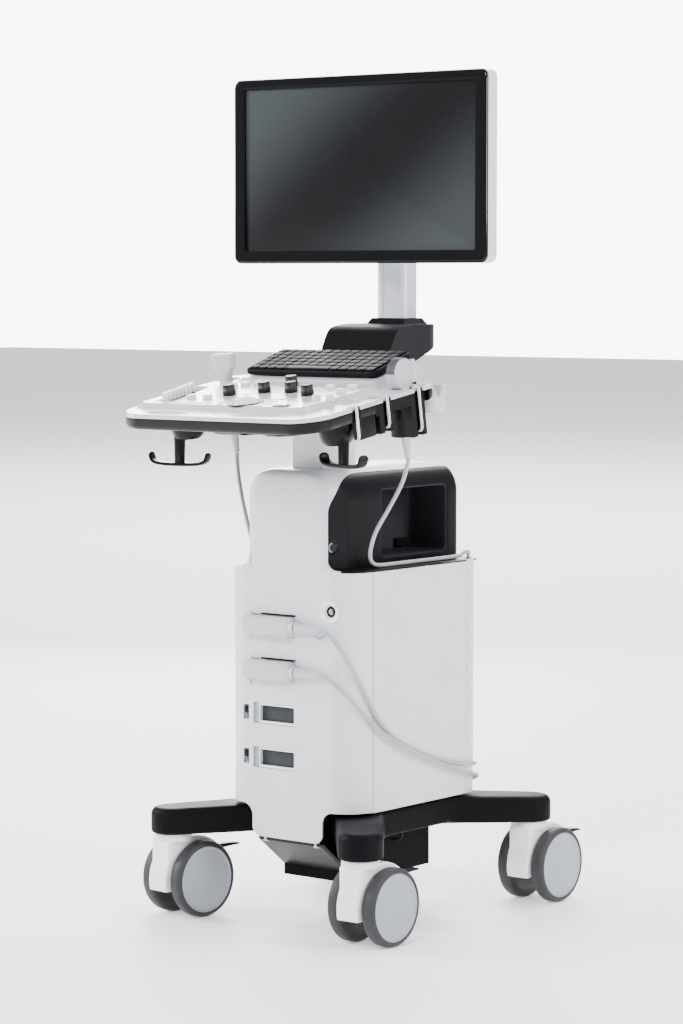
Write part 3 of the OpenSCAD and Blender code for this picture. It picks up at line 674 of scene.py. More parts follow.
CABLE_R = 3.4
right_route = [
    (78, -184, 485), (86, -184, 484), (98, -181, 474), (110, -174, 456), (122, -164, 430),
    (133, -150, 398), (139.5, -132, 364), (140, -110, 336), (140, -70, 306), (140, -20, 282),
    (140, 40, 260), (140, 100, 245), (140, 135, 240), (136, 154, 238), (124, 163, 236),
    (106, 166, 228), (86, 168, 220), (68, 170, 226), (58, 171, 244), (54, 172, 280),
    (54, 174, 330), (58, 175, 390), (66, 176, 450), (78, 177, 505), (92, 178, 548),
    (104, 177, 574), (110, 170, 587), (112, 156, 588), (112, 138, 583.2), (112, 90, 582.7),
    (112, 30, 582.7), (112, -30, 582.7), (112, -70, 583), (112, -90, 586), (112, -99, 596),
    (115, -101, 614), (121, -95, 640), (135, -84, 672), (150, -79, 700), (162, -78.5, 722),
    (169.3, -79.5, 741), (172.6, -80.4, 749), (173.8, -81.6, 755.8),
]
left_route = [
    (78, -184, 413), (86, -184, 412), (100, -180, 402), (114, -172, 388), (127, -160, 370),
    (137, -144, 350), (142, -126, 332), (144, -100, 314), (146, -60, 294), (146, -10, 272),
    (145, 50, 250), (144, 100, 233), (143, 134, 224), (139, 156, 218), (126, 167, 212),
    (100, 171, 203), (60, 173, 195), (10, 174, 190), (-40, 173, 193), (-78, 172, 206),
    (-98, 172, 230), (-107, 173, 270), (-110, 175, 330), (-111, 177, 400), (-112, 178, 470),
    (-112, 179, 530), (-112, 178, 570), (-112, 171, 586), (-112, 156, 588), (-112, 138, 583.2),
    (-112, 90, 582.7), (-112, 20, 582.7), (-112, -50, 582.7), (-112, -92, 584), (-113, -110, 594),
    (-118, -118, 616), (-131, -116, 648), (-148, -108, 684), (-163, -98, 716), (-169.5, -94, 741),
    (-170.9, -92.6, 748), (-171.7, -91.8, 753.8),
]


def metres(points):
    return [tuple(float(c) * MM for c in q) for q in points]


def run_length(points):
    return sum(math.dist(a, b) for a, b in zip(points, points[1:]))


def cable_piece(name, points, start_side, blended=None):
    """One run of a cable as a tube, with its path in metres."""
    path = smooth_path(points, 4)
    obj = piece(name, *sweep(path, lambda t: circle(CABLE_R, 12), start_side), CABLE, "cart", sharp=60,
                slot="cable_grey")
    if blended:
        obj.parent = None
        obj.matrix_world = Matrix.Identity(4)
        del obj["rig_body"]
        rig.blend(obj, *blended, start=metres([points[0]])[0], end=metres([points[-1]])[0])
    return obj, metres(path)


def probe_cable(side, route):
    """The cable in three pieces. The middle one lifts off the ledge when the console rises."""
    back = max(i for i, q in enumerate(route) if q[1] > 165 and 565 < q[2] < 580)
    top = next(i for i, q in enumerate(route) if i > back and q[2] > 665)
    lower = cable_piece("cable_" + side + "_trunk", route[:back + 1][::-1], (0, 1, 0))
    middle = cable_piece("cable_" + side + "_ledge", route[back:top + 1][::-1], (1, 0, 0),
        ("lift_column", "cart"))
    upper = cable_piece("cable_" + side + "_probe", route[top:][::-1], (1, 0, 0),
        ("console", "lift_column"))
    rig.replaces(lower[0], "cable_" + side + "_lower")
    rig.replaces(upper[0], "cable_" + side + "_upper")
    return lower, middle, upper


cables = {"right": probe_cable("right", right_route), "left": probe_cable("left", left_route)}

# ---------------------------------------------------------------- floor and light

FLOOR_COLOR = (0.93, 0.935, 0.94)
floor_mesh = bpy.data.meshes.new("floor")
floor_mesh.from_pydata([(-30, -30, 0), (30, -30, 0), (30, 30, 0), (-30, 30, 0)], [], [(0, 1, 2, 3)])
floor_material, floor_shader, floor_place = shader("floor", FLOOR_COLOR, 0.6, specular=0.2)
tint(floor_material, noise(floor_material, floor_place, 0.4, 2), FLOOR_COLOR, 0.005)
floor_shader.inputs["Emission Color"].default_value = (1, 1, 1, 1)
floor_shader.inputs["Emission Strength"].default_value = 0.35
floor_mesh.materials.append(floor_material)
floor = in_scene("floor", floor_mesh)
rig.stage(floor)


def studio_world(dim, bright, towards):
    """Soft grey surroundings with a bright backdrop in one direction."""
    world = bpy.data.worlds.new("studio")
    world.use_nodes = True
    tree = world.node_tree
    place = grow(tree, "TexCoord")
    facing = grow(tree, "VectorMath", {1: Vector(towards).normalized()}, {0: place.outputs["Generated"]},
                  operation="DOT_PRODUCT")
    power = grow(tree, "MapRange", {"From Min": 0.93, "From Max": 0.985, "To Min": dim, "To Max": bright},
                 {"Value": facing.outputs["Value"]}, interpolation_type="SMOOTHSTEP")
    tree.nodes["Background"].inputs["Color"].default_value = (0.95, 0.97, 1.0, 1)
    tree.links.new(power.outputs["Result"], tree.nodes["Background"].inputs["Strength"])
    return world


scene.world = studio_world(0.62, 9.0, (-0.616, 0.787, -0.05))


def softbox(name, place, target, size, power):
    """A rectangular area light that faces its target."""
    lamp = bpy.data.lights.new(name, "AREA")
    lamp.shape = "RECTANGLE"
    lamp.size, lamp.size_y = size
    lamp.energy = power
    obj = in_scene(name, lamp)
    obj.location = place
    obj.rotation_euler = (Vector(target) - Vector(place)).to_track_quat("-Z", "Y").to_euler()


softbox("key_light", (-3.7, -1.7, 2.2), (0, 0, 0.8), (1.2, 2.0), 260)
softbox("fill_light", (0.7, -3.9, 2.9), (0, 0, 0.6), (1.6, 1.2), 150)
softbox("side_light", (3.5, 0.5, 2.2), (0, 0, 0.7), (1.0, 2.2), 150)
softbox("top_light", (0.4, 1.3, 3.6), (0, 0, 0.8), (1.2, 1.2), 70)
softbox("backdrop_light", (-4.5, 6.5, 5.5), (-4.5, 6.5, 0), (7, 7), 1300)
softbox("back_light", (-2.4, 2.4, 1.8), (0, 0, 0.8), (1.0, 1.8), 90)

# ---------------------------------------------------------------- base and casters

base = softened("base_casting", 3.0, 7)
base.materials.clear()
base.materials.append(BLACK)
put("base_legs", base, "cart", None, ("base_casting",), "cast_base")

dressed("power_box", BLACK, 2.0)
dressed("base_front_panel", SMOKE, 1.2)
for side in (-1, 1):
    tab = joined(
        soft_box(side * 52 - 6, side * 52 + 6, -163.4, -161.2, 131, 145, 4, 0.8),
        moved(lathe([(3.4, 0), (3.4, 1.2), (2.2, 1.8), (0, 1.8)], 20),
        shift(side * 52, -163.3, 136) @ turn(90, "X")))
    piece("panel_screw_tab_" + ("left" if side < 0 else "right"), *tab, WHITE, "cart")
handle_path = smooth_path([(66, 20, 138), (74, 22, 137), (81, 24, 131), (80, 24, 124), (72, 22, 121),
    (66, 20, 121)], 2)
piece("cord_loop", *sweep(handle_path, lambda t: circle(2.4, 12)), BLACK_SATIN, "cart", sharp=60)

SIDES = ((1, "right"), (-1, "left"))
CASTERS = ("front_left", "front_right", "rear_left", "rear_right")


def caster_frame(corner):
    """The caster's own frame at rest, from its roll joint's axis and its swivel."""
    swivel = joints[f"caster_{corner}_swivel"]["pos_m"]
    axis = joints[f"caster_{corner}_roll"]["axis"]
    return shift(swivel[0], swivel[1], 0) @ Matrix.Rotation(math.atan2(axis[1], axis[0]), 4, "Z")


housing = softened("caster_front_right_housing", 1.3, 5, caster_frame("front_right").inverted())
housing.materials.append(CASTER_WHITE)
tyre_profile = [
    (50, 23), (57, 22.6), (60.4, 24), (62.2, 27), (62.5, 31), (62.5, 37), (62.2, 41), (60.4, 44.2),
    (57.6, 45.6),
    (54.6, 45.8), (54.0, 44.6), (50, 44.2)
]
disc_profile = [(0, 45.4), (18, 45.3), (36, 44.9), (48, 44.2), (50.4, 44.6), (51.2, 45.6), (52.6, 45.9),
    (53.9, 45.2),
                (54.1, 43.5), (53.5, 30)]
inner_profile = [(0, 22.6), (24, 22.6), (25, 24.5), (38, 24.5), (39, 22.9), (50.5, 22.9), (51, 24)]


def teeth(count, r0, r1, z0, z1):
    """Ring of stubby teeth about Z."""
    parts = []
    for k in range(count):
        tooth = soft_box(r0, r1, -1.6, 1.6, z0, z1, 0.6, 0.3, 2)
        parts.append(moved(tooth, turn(360 * k / count, "Z")))
    return joined(*parts)


WHEEL_R, TRAIL = 62.5, 33
axle_in = shift(0, TRAIL, WHEEL_R)


def both_wheels(part):
    """A part turned about Z, once for each wheel of the pair on the axle."""
    return joined(*(moved(part, axle_in @ turn(side * 90, "Y")) for side in (-1, 1)))


wheel_parts = {
    "tyres": (both_wheels(ring_of(tyre_profile, 96)), TYRE, "tyre"),
    "discs": (both_wheels(lathe(disc_profile, 96)), DISC_GREY, None),
    "hubs": (joined(both_wheels(joined(lathe(inner_profile, 64), teeth(30, 26, 34, 21.4, 25))),
                    moved(lathe([(5.9, -23), (5.9, 23)], 32), axle_in @ turn(90, "Y"))), CHARCOAL, None),
}
pedal_outline = [(66, 97, 5), (74, 99.5, 5), (86, 101.5, 4.5), (100, 104, 4), (114, 105, 3.2),
    (126, 105, 2.6), (138.6, 104.4, 1.6)]


def pedal_rings():
    rings = []
    for y, z, half in pedal_outline:
        wide = 7.8 if y < 108 else 9.8
        rings.append([(q[0], y, z + q[1]) for q in box_ring(wide, half, half * 0.9, 0, 0, 0, 5)])
    return loft(rings)


for corner in CASTERS:
    at = caster_frame(corner)
    body = "caster_" + corner
    put(body + "_fork", housing, body, at, (body + "_housing",), "caster_white")
    piece(body + "_collar", *joined(
        lathe([(30.2, 126.8), (30.5, 128), (30.5, 138), (29.6, 139.3), (0, 139.3)], 64),
        lathe([(8, 139), (8, 171.8), (0, 171.8)], 24)), CASTER_WHITE, body, at)
    for part, (mesh, material, slot_name) in wheel_parts.items():
        piece(f"{body}_{part}", *mesh, material, body + "_wheels", at, 40,
              (body + "_wheels",) if part == "tyres" else (), slot_name)
    piece(body + "_pedal_tab", *pedal_rings(), BLACK_SATIN, body + "_pedal", at, 50, (body + "_pedal",))

# ---------------------------------------------------------------- trunk

LEDGE = 579.0
dressed("front_cover", WHITE, 1.1, cut_above=LEDGE + 0.05, name="front_shell", slot="white_cover")
for node in ("side_panel_left", "side_panel_right"):
    dressed(node, WHITE, 0.9, slot="white_cover")
piece("panel_seams", *joined(*(
    soft_box(*sorted((side * 132.4, side * 135.08)), -121.3, -119.9, 196, 574, 0.3, 0.02)
    for side in (-1, 1))), SEAM, "cart")
dressed("rear_cover", WHITE, 0.8, slot="light_cover")
dressed("chassis_frame", STEEL, 0.6)
dressed("electronics_rack", BOARD, 0.4)
dressed("cooling_fans", CHARCOAL, 0.5)
dressed("mains_inlet", BLACK, 0.8)
dressed("lift_sleeve", SILVER, 0.6)
# The lift column takes the lighter silver, painted light against the console's shadow.
dressed("lift_column", SILVER_LIT, 4.0, 4, name="lift_column_shell", slot="silver")

neck_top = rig.box("front_cover")[1][2] / MM
neck_front, neck_rear, neck_half = -173.0, 177.0, 90.0
ARCH_R, FRONT_R, REAR_R = 48.0, 16.0, 30.0


def rounded_off(z, r):
    """How far the neck has drawn in at height z, where its top edge is rounded by r."""
    return r - math.sqrt(max(0.0, r * r - max(0.0, z - (neck_top - r)) ** 2))


def neck_section(z):
    """Half width, front and rear of the neck at height z."""
    return (neck_half - rounded_off(z, ARCH_R), neck_front + rounded_off(z, FRONT_R),
            neck_rear - rounded_off(z, REAR_R))


def neck_ring(z):
    half, front, rear = neck_section(z)
    ring = []
    for sx, y, r, start in ((1, rear, 20, 0), (-1, rear, 20, 90), (-1, front, 24, 180),
            (1, front, 24, 270)):
        r = min(r, half * 0.6)
        cy = y - r if y > 0 else y + r
        for k in range(9):
            a = math.radians(start + 90 * k / 8)
            ring.append((sx * (half - r) + r * math.cos(a), cy + r * math.sin(a), z))
    dense = []
    for a, b in zip(ring, ring[1:] + ring[:1]):
        n = max(1, int(math.dist(a, b) / 4))
        dense += [tuple(a[i] + (b[i] - a[i]) * k / n for i in range(3)) for k in range(n)]
    return dense


def neck_skin():
    levels = [LEDGE, *np.arange(LEDGE + 6, neck_top - ARCH_R, 6)]
    levels += [neck_top - ARCH_R + ARCH_R * math.sin(math.radians(a)) for a in np.arange(0, 90, 3)]
    levels += [neck_top - 0.02]
    count = len(neck_ring(LEDGE))
    rings = []
    for z in levels:
        # the same number of points on every ring, by share of the way round
        ring = neck_ring(z)
        ring.append(ring[0])
        walk = np.concatenate([[0], np.cumsum([math.dist(a, b) for a, b in zip(ring, ring[1:])])])
        shares = np.arange(count) / count * walk[-1]
        spread = [np.interp(shares, walk, [q[c] for q in ring]) for c in range(3)]
        rings.append([tuple(q) for q in zip(*spread)])
    return loft(rings)


WINDOW_TOP, ARC_END, ARC_H, WINDOW_FRONT = 730.0, -68.0, 62.0, -168.0
ARC_BOW = 0.88                        # under 1 swells the arc beyond an ellipse


def window_outline():
    """Side view of the neck's side opening as (y, z) points, with its long front top arc."""
    arc = [(ARC_END - (ARC_END - WINDOW_FRONT) * math.sin(a) ** ARC_BOW,
        WINDOW_TOP - ARC_H + ARC_H * math.cos(a) ** ARC_BOW)
           for a in np.linspace(0, math.pi / 2, 41)]
    return [(300, WINDOW_TOP), *arc, (WINDOW_FRONT, 560), (300, 560)]


def prism(outline, x0, x1):
    """An outline of (y, z) points drawn out from x0 to x1."""
    n = len(outline)
    verts = [(x, y, z) for x in (x0, x1) for y, z in outline]
    walls = [(k, (k + 1) % n, n + (k + 1) % n, n + k) for k in range(n)]
    return verts, [tuple(reversed(range(n))), tuple(range(n, 2 * n)), *walls]


def carved(part, wall, cutters):
    """The part as a shell with that wall, less the cutters, as a mesh in metres."""
    made = []
    for verts, faces in (part, *cutters):
        mesh = bpy.data.meshes.new("carving")
        mesh.from_pydata([[c * MM for c in v] for v in verts], [], faces)
        bm = bmesh.new()
        bm.from_mesh(mesh)
        bmesh.ops.recalc_face_normals(bm, faces=bm.faces)
        bm.to_mesh(mesh)
        bm.free()
        made.append(in_scene("carving", mesh))
    modify(made[0], "wall", "SOLIDIFY", thickness=wall * MM, offset=-1)
    for cutter in made[1:]:
        modify(made[0], "cut", "BOOLEAN", operation="DIFFERENCE", object=cutter)
    depsgraph = bpy.context.evaluated_depsgraph_get()
    result = bpy.data.meshes.new_from_object(made[0].evaluated_get(depsgraph))
    for obj in made:
        bpy.data.objects.remove(obj)
    return result


shaft_hole = soft_box(-33.5, 33.5, -120.5, -31.5, 700, 760, 3, 0.5)
skin_mesh = carved(neck_skin(), 2.6, [
    prism(window_outline(), 58, 140), prism(window_outline(), -140, -58),
    soft_box(-76.8, 76.8, 150, 260, 560, 702, 1, 0.5), soft_box(-86, 86, -165, 165, 570, 585, 20, 0.5),
    shaft_hole])
finish_mesh("neck_skin", skin_mesh, WHITE, "cart", sharp=40, slot="white_cover")


def swoop(side):
    """Fillet where the neck's front edge runs out onto the trunk's shoulder."""
    arc = [(99 - 22 * math.sin(a), 601 - 22 * math.cos(a)) for a in np.linspace(0, math.pi / 2, 10)]
    outline = [(76, 576), (99, 576), *arc, (76, 601)]
    n = len(outline)
    rings = []
    for y, grow in ((-172.7, -0.6), (-172.3, 0), (-166.5, 0), (-166, -0.6)):
        rings.append([(side * (x + (grow if x > 76 else 0)), y + max(0, x - 85) ** 2 / 90,
            z + (grow if z > 576 else 0)) for x, z in outline])
    return loft(rings)


for side, word in SIDES:
    piece("neck_fillet_" + word, *swoop(side), WHITE, "cart", sharp=40)

BAY_Y, BAY_Z = (-40.0, 139.0), (591.0, 702.0)       # mouth of the printer bay


def side_x(y, z, extra=0.0):
    """Outside of the neck's side at (y, z), with its cut-off front corner."""
    drop = np.maximum(0, z - (neck_top - ARCH_R))
    x = neck_half - (ARCH_R - np.sqrt(np.maximum(1, ARCH_R ** 2 - drop ** 2)))
    chamfer = 90 - (np.maximum(0, -132 - y)) * 13 / 34
    rear = np.maximum(0, y - (neck_rear - 20))
    corner = 20 - np.sqrt(np.maximum(0, 400 - rear ** 2))
    return np.minimum(x, chamfer) - corner + extra


def liner_area(y, z):
    window = np.minimum(WINDOW_TOP - 0.4 - z, y - WINDOW_FRONT - 0.4)
    across = np.abs(y - ARC_END) / (ARC_END - WINDOW_FRONT - 0.4)
    up = np.abs(z - WINDOW_TOP + ARC_H) / (ARC_H - 0.4)
    power = 2 / ARC_BOW
    arc = (1 - (across ** power + up ** power) ** (1 / power)) * 74
    window = np.where((y < ARC_END) & (z > WINDOW_TOP - ARC_H), arc, window)
    window = np.minimum(window, np.minimum(z - (LEDGE - 2.5), neck_rear - 1.5 - y))
    bay = in_box(y, z, *BAY_Y, *BAY_Z, 9)
    button = 8.6 - np.hypot((y + 156.6) / 0.93, z - 615)
    return np.minimum(window, np.minimum(-bay, -button))


for side, word in SIDES:
    flat = plate(
        liner_area,
        lambda y, z, f: side_x(y, z, 0.25) - rim(f, 1.5),
        lambda y, z, f: side_x(y, z, -2.6),
        (-170, 178, 574, 730), 3.0)
    skin_verts = [(side * x, y, z) for y, z, x in flat[0]]
    piece("bay_side_" + word, skin_verts, flat[1], BAY_BLACK, "cart", sharp=34,
          replaces=("bay_liner",) if side > 0 else (), slot="black_plastic")
    # inside of the bay, in the lightened black that paints light into its shade
    rings = []
    for x, grow, front in ((87.2, 0.2, BAY_Y[0]), (84, -0.6, BAY_Y[0]), (60, -1.0, BAY_Y[0]),
            (42, -1.3, BAY_Y[0]),
                           (40.6, -1.4, -23.6), (20, -1.6, -23.6), (10.5, -2.2, -23.6), (8.6, -4.5, -23.6)):
        ring = box_ring((BAY_Y[1] - front) / 2 + grow, (BAY_Z[1] - BAY_Z[0]) / 2 + grow, 9, 0,
                        (BAY_Y[1] + front) / 2, sum(BAY_Z) / 2, 8)
        rings.append([(side * x, p[0], p[1]) for p in ring])
    inner_verts, inner_faces = loft(rings, closed=False)
    inner_faces.append(tuple(range(7 * len(rings[0]), 8 * len(rings[0]))))
    bay = piece("bay_inside_" + word, inner_verts, inner_faces, BAY_INSIDE_LIT, "cart", sharp=50)
    modify(bay, "wall", "SOLIDIFY", thickness=1.5 * MM, offset=0)
    seam = joined(
        soft_box(side * 10 - 1.5, side * 10 + 1.5, 48, 51, 597, 697, 1, 0.5),
        soft_box(side * 14 - 5, side * 14 + 5, 96, 126, 596, 610, 3, 1),
        soft_box(side * 12 - 2.5, side * 12 + 2.5, -4, 6, 596, 696, 2, 0.8))
    piece("bay_rail_" + word, *seam, BLACK, "cart")
    ledge = plate(
        lambda x, y: np.minimum(in_box(x, y, -132, 132, -170, 300, 46), np.minimum(x - 77.5, 165 - y)),
        lambda x, y, f: LEDGE - 0.4 - rim(f, 0.8), level(LEDGE - 2.8), (76, 134, -172, 166), 3.0)
    piece("ledge_" + word, [(side * x, y, z) for x, y, z in ledge[0]], ledge[1], BLACK_SATIN, "cart")

# power button with its lit ring
button_at = (shift(80.7 * MM, -156.6 * MM, 615 * MM) @ turn(-20.4, "Z")
             @ turn(90, "Y"))
piece("power_button_cap", *lathe([(0, 0.4), (4.2, 0.5), (4.8, 0.9), (7.2, 0.9), (7.9, 0.3), (8, -7.5),
    (0, -7.5)], 40),
      SMOKE, "power_button", button_at, 30, ("power_button",))
glow_arc = [(6.9 * math.cos(a), 6.9 * math.sin(a), 0.75) for a in np.linspace(-2.95, -0.2, 22)]
piece("power_button_ring", *sweep(glow_arc, lambda t: [(0.95 * a, 0.24 * b) for a, b in circle(1, 10)],
    (1, 0, 0)),
      LAMP, "power_button", button_at, 30)
piece("power_button_well", *ring_of([(8.2, -1.6), (8.3, 0.1), (9.2, 0.8), (11.6, 0.9), (12.4, 0.4),
    (12.5, -1.6)], 56),
      GLOSS_BLACK, "cart", button_at, 30)


def faced(part):
    """A part drawn in x and z with its height towards the front (-Y)."""
    return moved(part, turn(90, "X"))


# ---------------------------------------------------------------- probe ports

PORT_Z = (485, 413, 341, 269)         # middles of the four probe ports
dressed("port_panel", WHITE, 0.5, slot="port_grey")
for k, z in enumerate(PORT_Z):
    piece(f"port_{k + 1}_floor", *faced(soft_box(-58.4, 13.4, z - 13.4, z + 13.4, 161.6, 163.4, 1.2, 0.4)),
        PORT_GREY, "cart")
    piece(f"port_{k + 1}_cheek", *faced(soft_box(-69.3, -59, z - 16.2, z + 16.2, 169, 170.5, 3, 0.6)),
        MID_GREY, "cart")
    lip = plate(
        lambda x, y, z=z: np.minimum(in_box(x, y, -60, 15.4, z - 16.4, z + 16.2, 3),
        -in_box(x, y, -57.6, 12.8, z - 12.6, z + 12.8, 2)),
        lambda x, y, f: 171.2 - rim(f, 0.9), level(169.2), (-62, 17, z - 18, z + 18), 1.0)
    piece(f"port_{k + 1}_lip", *faced(lip), RIM_WHITE, "cart")
piece("latch_bar", *faced(soft_box(-92, -78, 240, 502, 157.5, 160, 1, 0.5)), WHITE, "port_latches", None,
    38, ("port_latches",))
piece("latch_sliders", *joined(*(
    faced(soft_box(-89.5, -80.5, z - 2, z + 9, 159.5, 171.5, 1.2, 0.8)) for z in PORT_Z)), BLACK_SATIN,
    "port_latches")

dressed("aux_socket", SILVER_LIT, 0.4)
at_socket = shift(88, 0, 514) @ turn(90, "X")
piece("aux_socket_rim", *moved(ring_of([
    (9.2, 166), (9.8, 170), (11, 171.6), (15.6, 174.2), (16.8, 175), (17.8, 174.7), (18.4, 173.6),
    (18.4, 172.6), (13.8, 172.4), (13.8, 166)
], 64), at_socket), RIM_WHITE, "cart")
piece("aux_socket_core", *moved(ring_of([(5.1, 169.2), (5.4, 170.2), (8, 170.4), (8.5, 169.6), (8.5, 168.6),
    (5.1, 168.6)], 48), at_socket), BLACK, "cart")
piece("aux_socket_pins", *moved(joined(
    lathe([(4.8, 158.4), (4.8, 160.2), (4.2, 160.7), (0, 160.7)], 32),
    *(moved(lathe([(0.45, 160), (0.45, 163.5), (0, 163.9)], 10),
    shift(2.6 * math.cos(a), 2.6 * math.sin(a), 0))
      for a in np.linspace(0, 2 * math.pi, 7)[:-1])), at_socket), TAN, "cart")

for k, z in enumerate(PORT_Z[:2]):
    shell = faced(soft_box(-79, 20, z - 16, z + 16, 171, 193.8, 8, 6, 8))
    face = faced(soft_box(-75, 14, z - 12.6, z + 12.6, 187, 194, 7, 1.6, 8))
    at_cable = shift(0, -184, z) @ turn(90, "Y")
    collar = moved(ring_of([(0.1, 18), (9.8, 18.3), (10.4, 19.5), (10.4, 26.2), (9.6, 27.4), (0.1, 27.6)],
        40), at_cable)
    groove = moved(ring_of([(0.1, 27), (8.7, 27), (8.7, 29.4), (0.1, 29.4)], 40), at_cable)
    relief = moved(lathe([(9.2, 29), (9.3, 30.5), (8.3, 33), (6.9, 50), (5.4, 66), (4.7, 76), (4.1, 78.2),
        (3.2, 78.6)], 40), at_cable)
    key = faced(soft_box(-57.4, 12.4, z - 12.6, z + 12.6, 163.5, 172, 1, 0.4))
    piece(f"probe_connector_{k + 1}", *joined(shell, face, collar, relief, key), PROBE_WHITE, "cart",
        sharp=30,
          replaces=("probe_connectors",) if k == 0 else ())
    piece(f"probe_connector_{k + 1}_groove", *groove, CHARCOAL, "cart")
    piece(f"probe_connector_{k + 1}_slot", *faced(soft_box(-52, 19, z + 17.2, z + 19.4, 173, 175.6, 0.8,
        0.4)), BLACK, "cart")
    piece(f"probe_connector_{k + 1}_tab", *joined(
        faced(soft_box(-84, -74, z - 25.5, z - 15, 172.6, 176.4, 1.6, 0.8)),
        faced(soft_box(-84, -72, z - 16.5, z + 20, 172.6, 175.2, 1.6, 0.8))), WHITE, "cart")
clip_path = [(0.4 * math.cos(a) * 11 + 77, -184 + 7.4 * math.cos(a),
    479.5 + 7.4 * math.sin(a)) for a in np.linspace(-2.9, -0.2, 14)]
piece("cable_clip", *sweep(clip_path, lambda t: [(1.3 * a, 1.9 * b) for a, b in circle(1, 10)], (1, 0, 0)),
    CLIP, "cart")

# ---------------------------------------------------------------- console

DECK = shift(0, -0.076, 0.8668) @ turn(9, "X")
# the deck slopes by 9 degrees and the keyboard by 18; their drawings are in mm in these frames
KEYS = shift(0, -0.114, 0.8835) @ turn(18, "X")
DECK_X, BANK = 205.0, 14.0
RIGHT_CUPS, LEFT_CUPS, HOLDER_X, NOTCH_Y = (-105, -23), (-113, -33), 174, -184
KNOBS = ((-64, -161), (-17, -130), (33, -124), (-4, -77), (81, -143))
TALL_SWITCHES = ((121, -171), (145, -168))
SWITCHES = ((-117, -193), (-86, -189), (81, -85), (125, -113), (122, -80), (-116, -90), (-98, -80),
    (-79, -69))
OVAL = (96, -227)
BALL = (13, -213)


def deck_area(x, y, inset=0.0):
    front = in_box(x, y, -DECK_X + inset, DECK_X - inset, -292 + inset, 22 - inset, 56 - inset)
    rear = in_box(x, y, -DECK_X + inset, DECK_X - inset, -292 + inset, 22 - inset, 36 - inset)
    tail = in_box(x, y, -140 + inset, 140 - inset, -40, 68 - inset, 4)
    corner = 33 - inset - np.hypot(x - 176, y - 2)
    return np.maximum(np.where(y < -150, front, rear), np.maximum(tail, corner))


def deck_gaps(x, y):
    """Distance outside the nearest cable slot or cup."""
    gap = np.full(np.shape(x), 1e3)
    for sx, cups in ((1, RIGHT_CUPS), (-1, LEFT_CUPS)):
        for cy in cups:
            gap = np.minimum(gap, np.hypot(x - sx * HOLDER_X, y - cy) - 17)
            gap = np.minimum(gap, -in_box(sx * x, y, HOLDER_X, 260, cy - 6, cy + 6, 0.5))
    gap = np.minimum(gap, -in_box(x, y, DECK_X - 11, 260, NOTCH_Y - 6, NOTCH_Y + 6, 5.5))
    for sx, cy in ((1, NOTCH_Y), *((1, c) for c in RIGHT_CUPS), *((-1, c) for c in LEFT_CUPS)):
        gap = np.minimum(gap, -in_box(sx * x, y, 197, 260, cy, cy + 14.2, 1))
    gel = np.hypot(x - 180, (y - 40.9) * 0.988) - 28.4
    return np.minimum(gap, gel)


def deck_inside(x, y):
    ball = np.hypot(x - BALL[0], y - BALL[1]) - 22.6
    return np.minimum(np.minimum(deck_area(x, y), deck_gaps(x, y)), ball)


def dish(x, y, cx, cy, rx, ry, depth, angle=0.0):
    """Depth of an oval hollow in the deck."""
    a = math.radians(angle)
    u = (x - cx) * math.cos(a) + (y - cy) * math.sin(a)
    v = -(x - cx) * math.sin(a) + (y - cy) * math.cos(a)
    return depth * smoothstep((1 - np.hypot(u / rx, v / ry)) / 0.55)


def slider_pocket(x, y):
    slant = x + 0.2 * (y + 222)
    return np.minimum(np.minimum(y + 222, -112 - y), np.minimum(slant + 164, -138 - slant) / 1.02)


def deck_top(x, y, f):
    h = 6 + (BANK - 6) * smoothstep(in_box(x, y, -201, 155, -248, 21, 26) / 12)
    tray = in_box(x, y, -146, 146, -52, 90, 14)
    under_keys = 20.2 + 0.158 * (y + 34.9)
    steps = 0.45 * smoothstep(tray / 3) + 0.55 * smoothstep((tray - 6) / 3)
    h = h + steps * np.maximum(0, under_keys - h)
    h = h - dish(x, y, -109, -268, 54, 17, 4.2) - dish(x, y, 83, -262, 62, 19, 4.2, 3)
    h = h - dish(x, y, 172, -146, 24, 27, 4.0) - dish(x, y, 176, -64, 22, 24, 4.0)
    h = h - 4.2 * smoothstep((slider_pocket(x, y) + 3.2) / 2)
    return h - rim(f, 3.6)


DECK_MM = shift(0, -76, 866.8) @ DECK.to_3x3().to_4x4()
deck = plate(deck_inside, deck_top, level(0.0), (-208, 208, -295, 72), 2.0)
piece("console_top", *moved(deck, DECK_MM), DECK_WHITE, "console", None, 50, ("console_deck",),
    "deck_white")


def band_inside(x, y):
    bays = np.maximum(in_box(x, y, 148.2, 300, -131, 6, 0.5), in_box(x, y, -300, -148.2, -139, -2, 0.5))
    shaft = np.hypot(x, y) - 30
    ball = np.hypot(x - BALL[0], y - BALL[1]) - 27
    return np.minimum(np.minimum(np.minimum(deck_area(x, y, 1.3), deck_gaps(x, y) - 0.2),
        np.minimum(-bays, shaft)), ball)


def band_bottom(x, y, f):
    edge = deck_area(x, y, 1.3)
    low = 12 * smoothstep(in_box(x, y, -140, 140, -242, 62, 66) / 16)
    lower = 11 * smoothstep(in_box(x, y, -114, 114, -216, 62, 62) / 18)
    return -19 + rim(edge, 7) - low - lower


band = plate(band_inside, level(-0.3), band_bottom, (-206, 206, -293, 70), 2.5)
piece("console_band", *moved(band, DECK_MM), BLACK_SATIN, "console", None, 50, ("console_base",),
    "black_plastic")
piece("console_rear", *soft_box(-70, 70, 60, 128, -42, -0.3, 18, 5), BLACK_SATIN, "console", DECK)
piece("console_skirt", *soft_box(188, 203.3, -175, -131.6, -48, -12, 4, 2.5), BLACK_SATIN, "console", DECK)
piece("column_collar", *ring_of([(24.3, 812), (54, 812), (56, 814), (56, 843), (24.3, 843)], 72), BLACK,
    "console",
      shift(0, -0.076, 0), 40)
piece("mast_foot", *soft_box(-48, 48, 6, 48, 855, 921.4, 8, 3), BLACK_SATIN, "console")
for node in ("probe_holder_right", "probe_holder_left"):
    dressed(node, BLACK_SATIN, 1.6, 3)


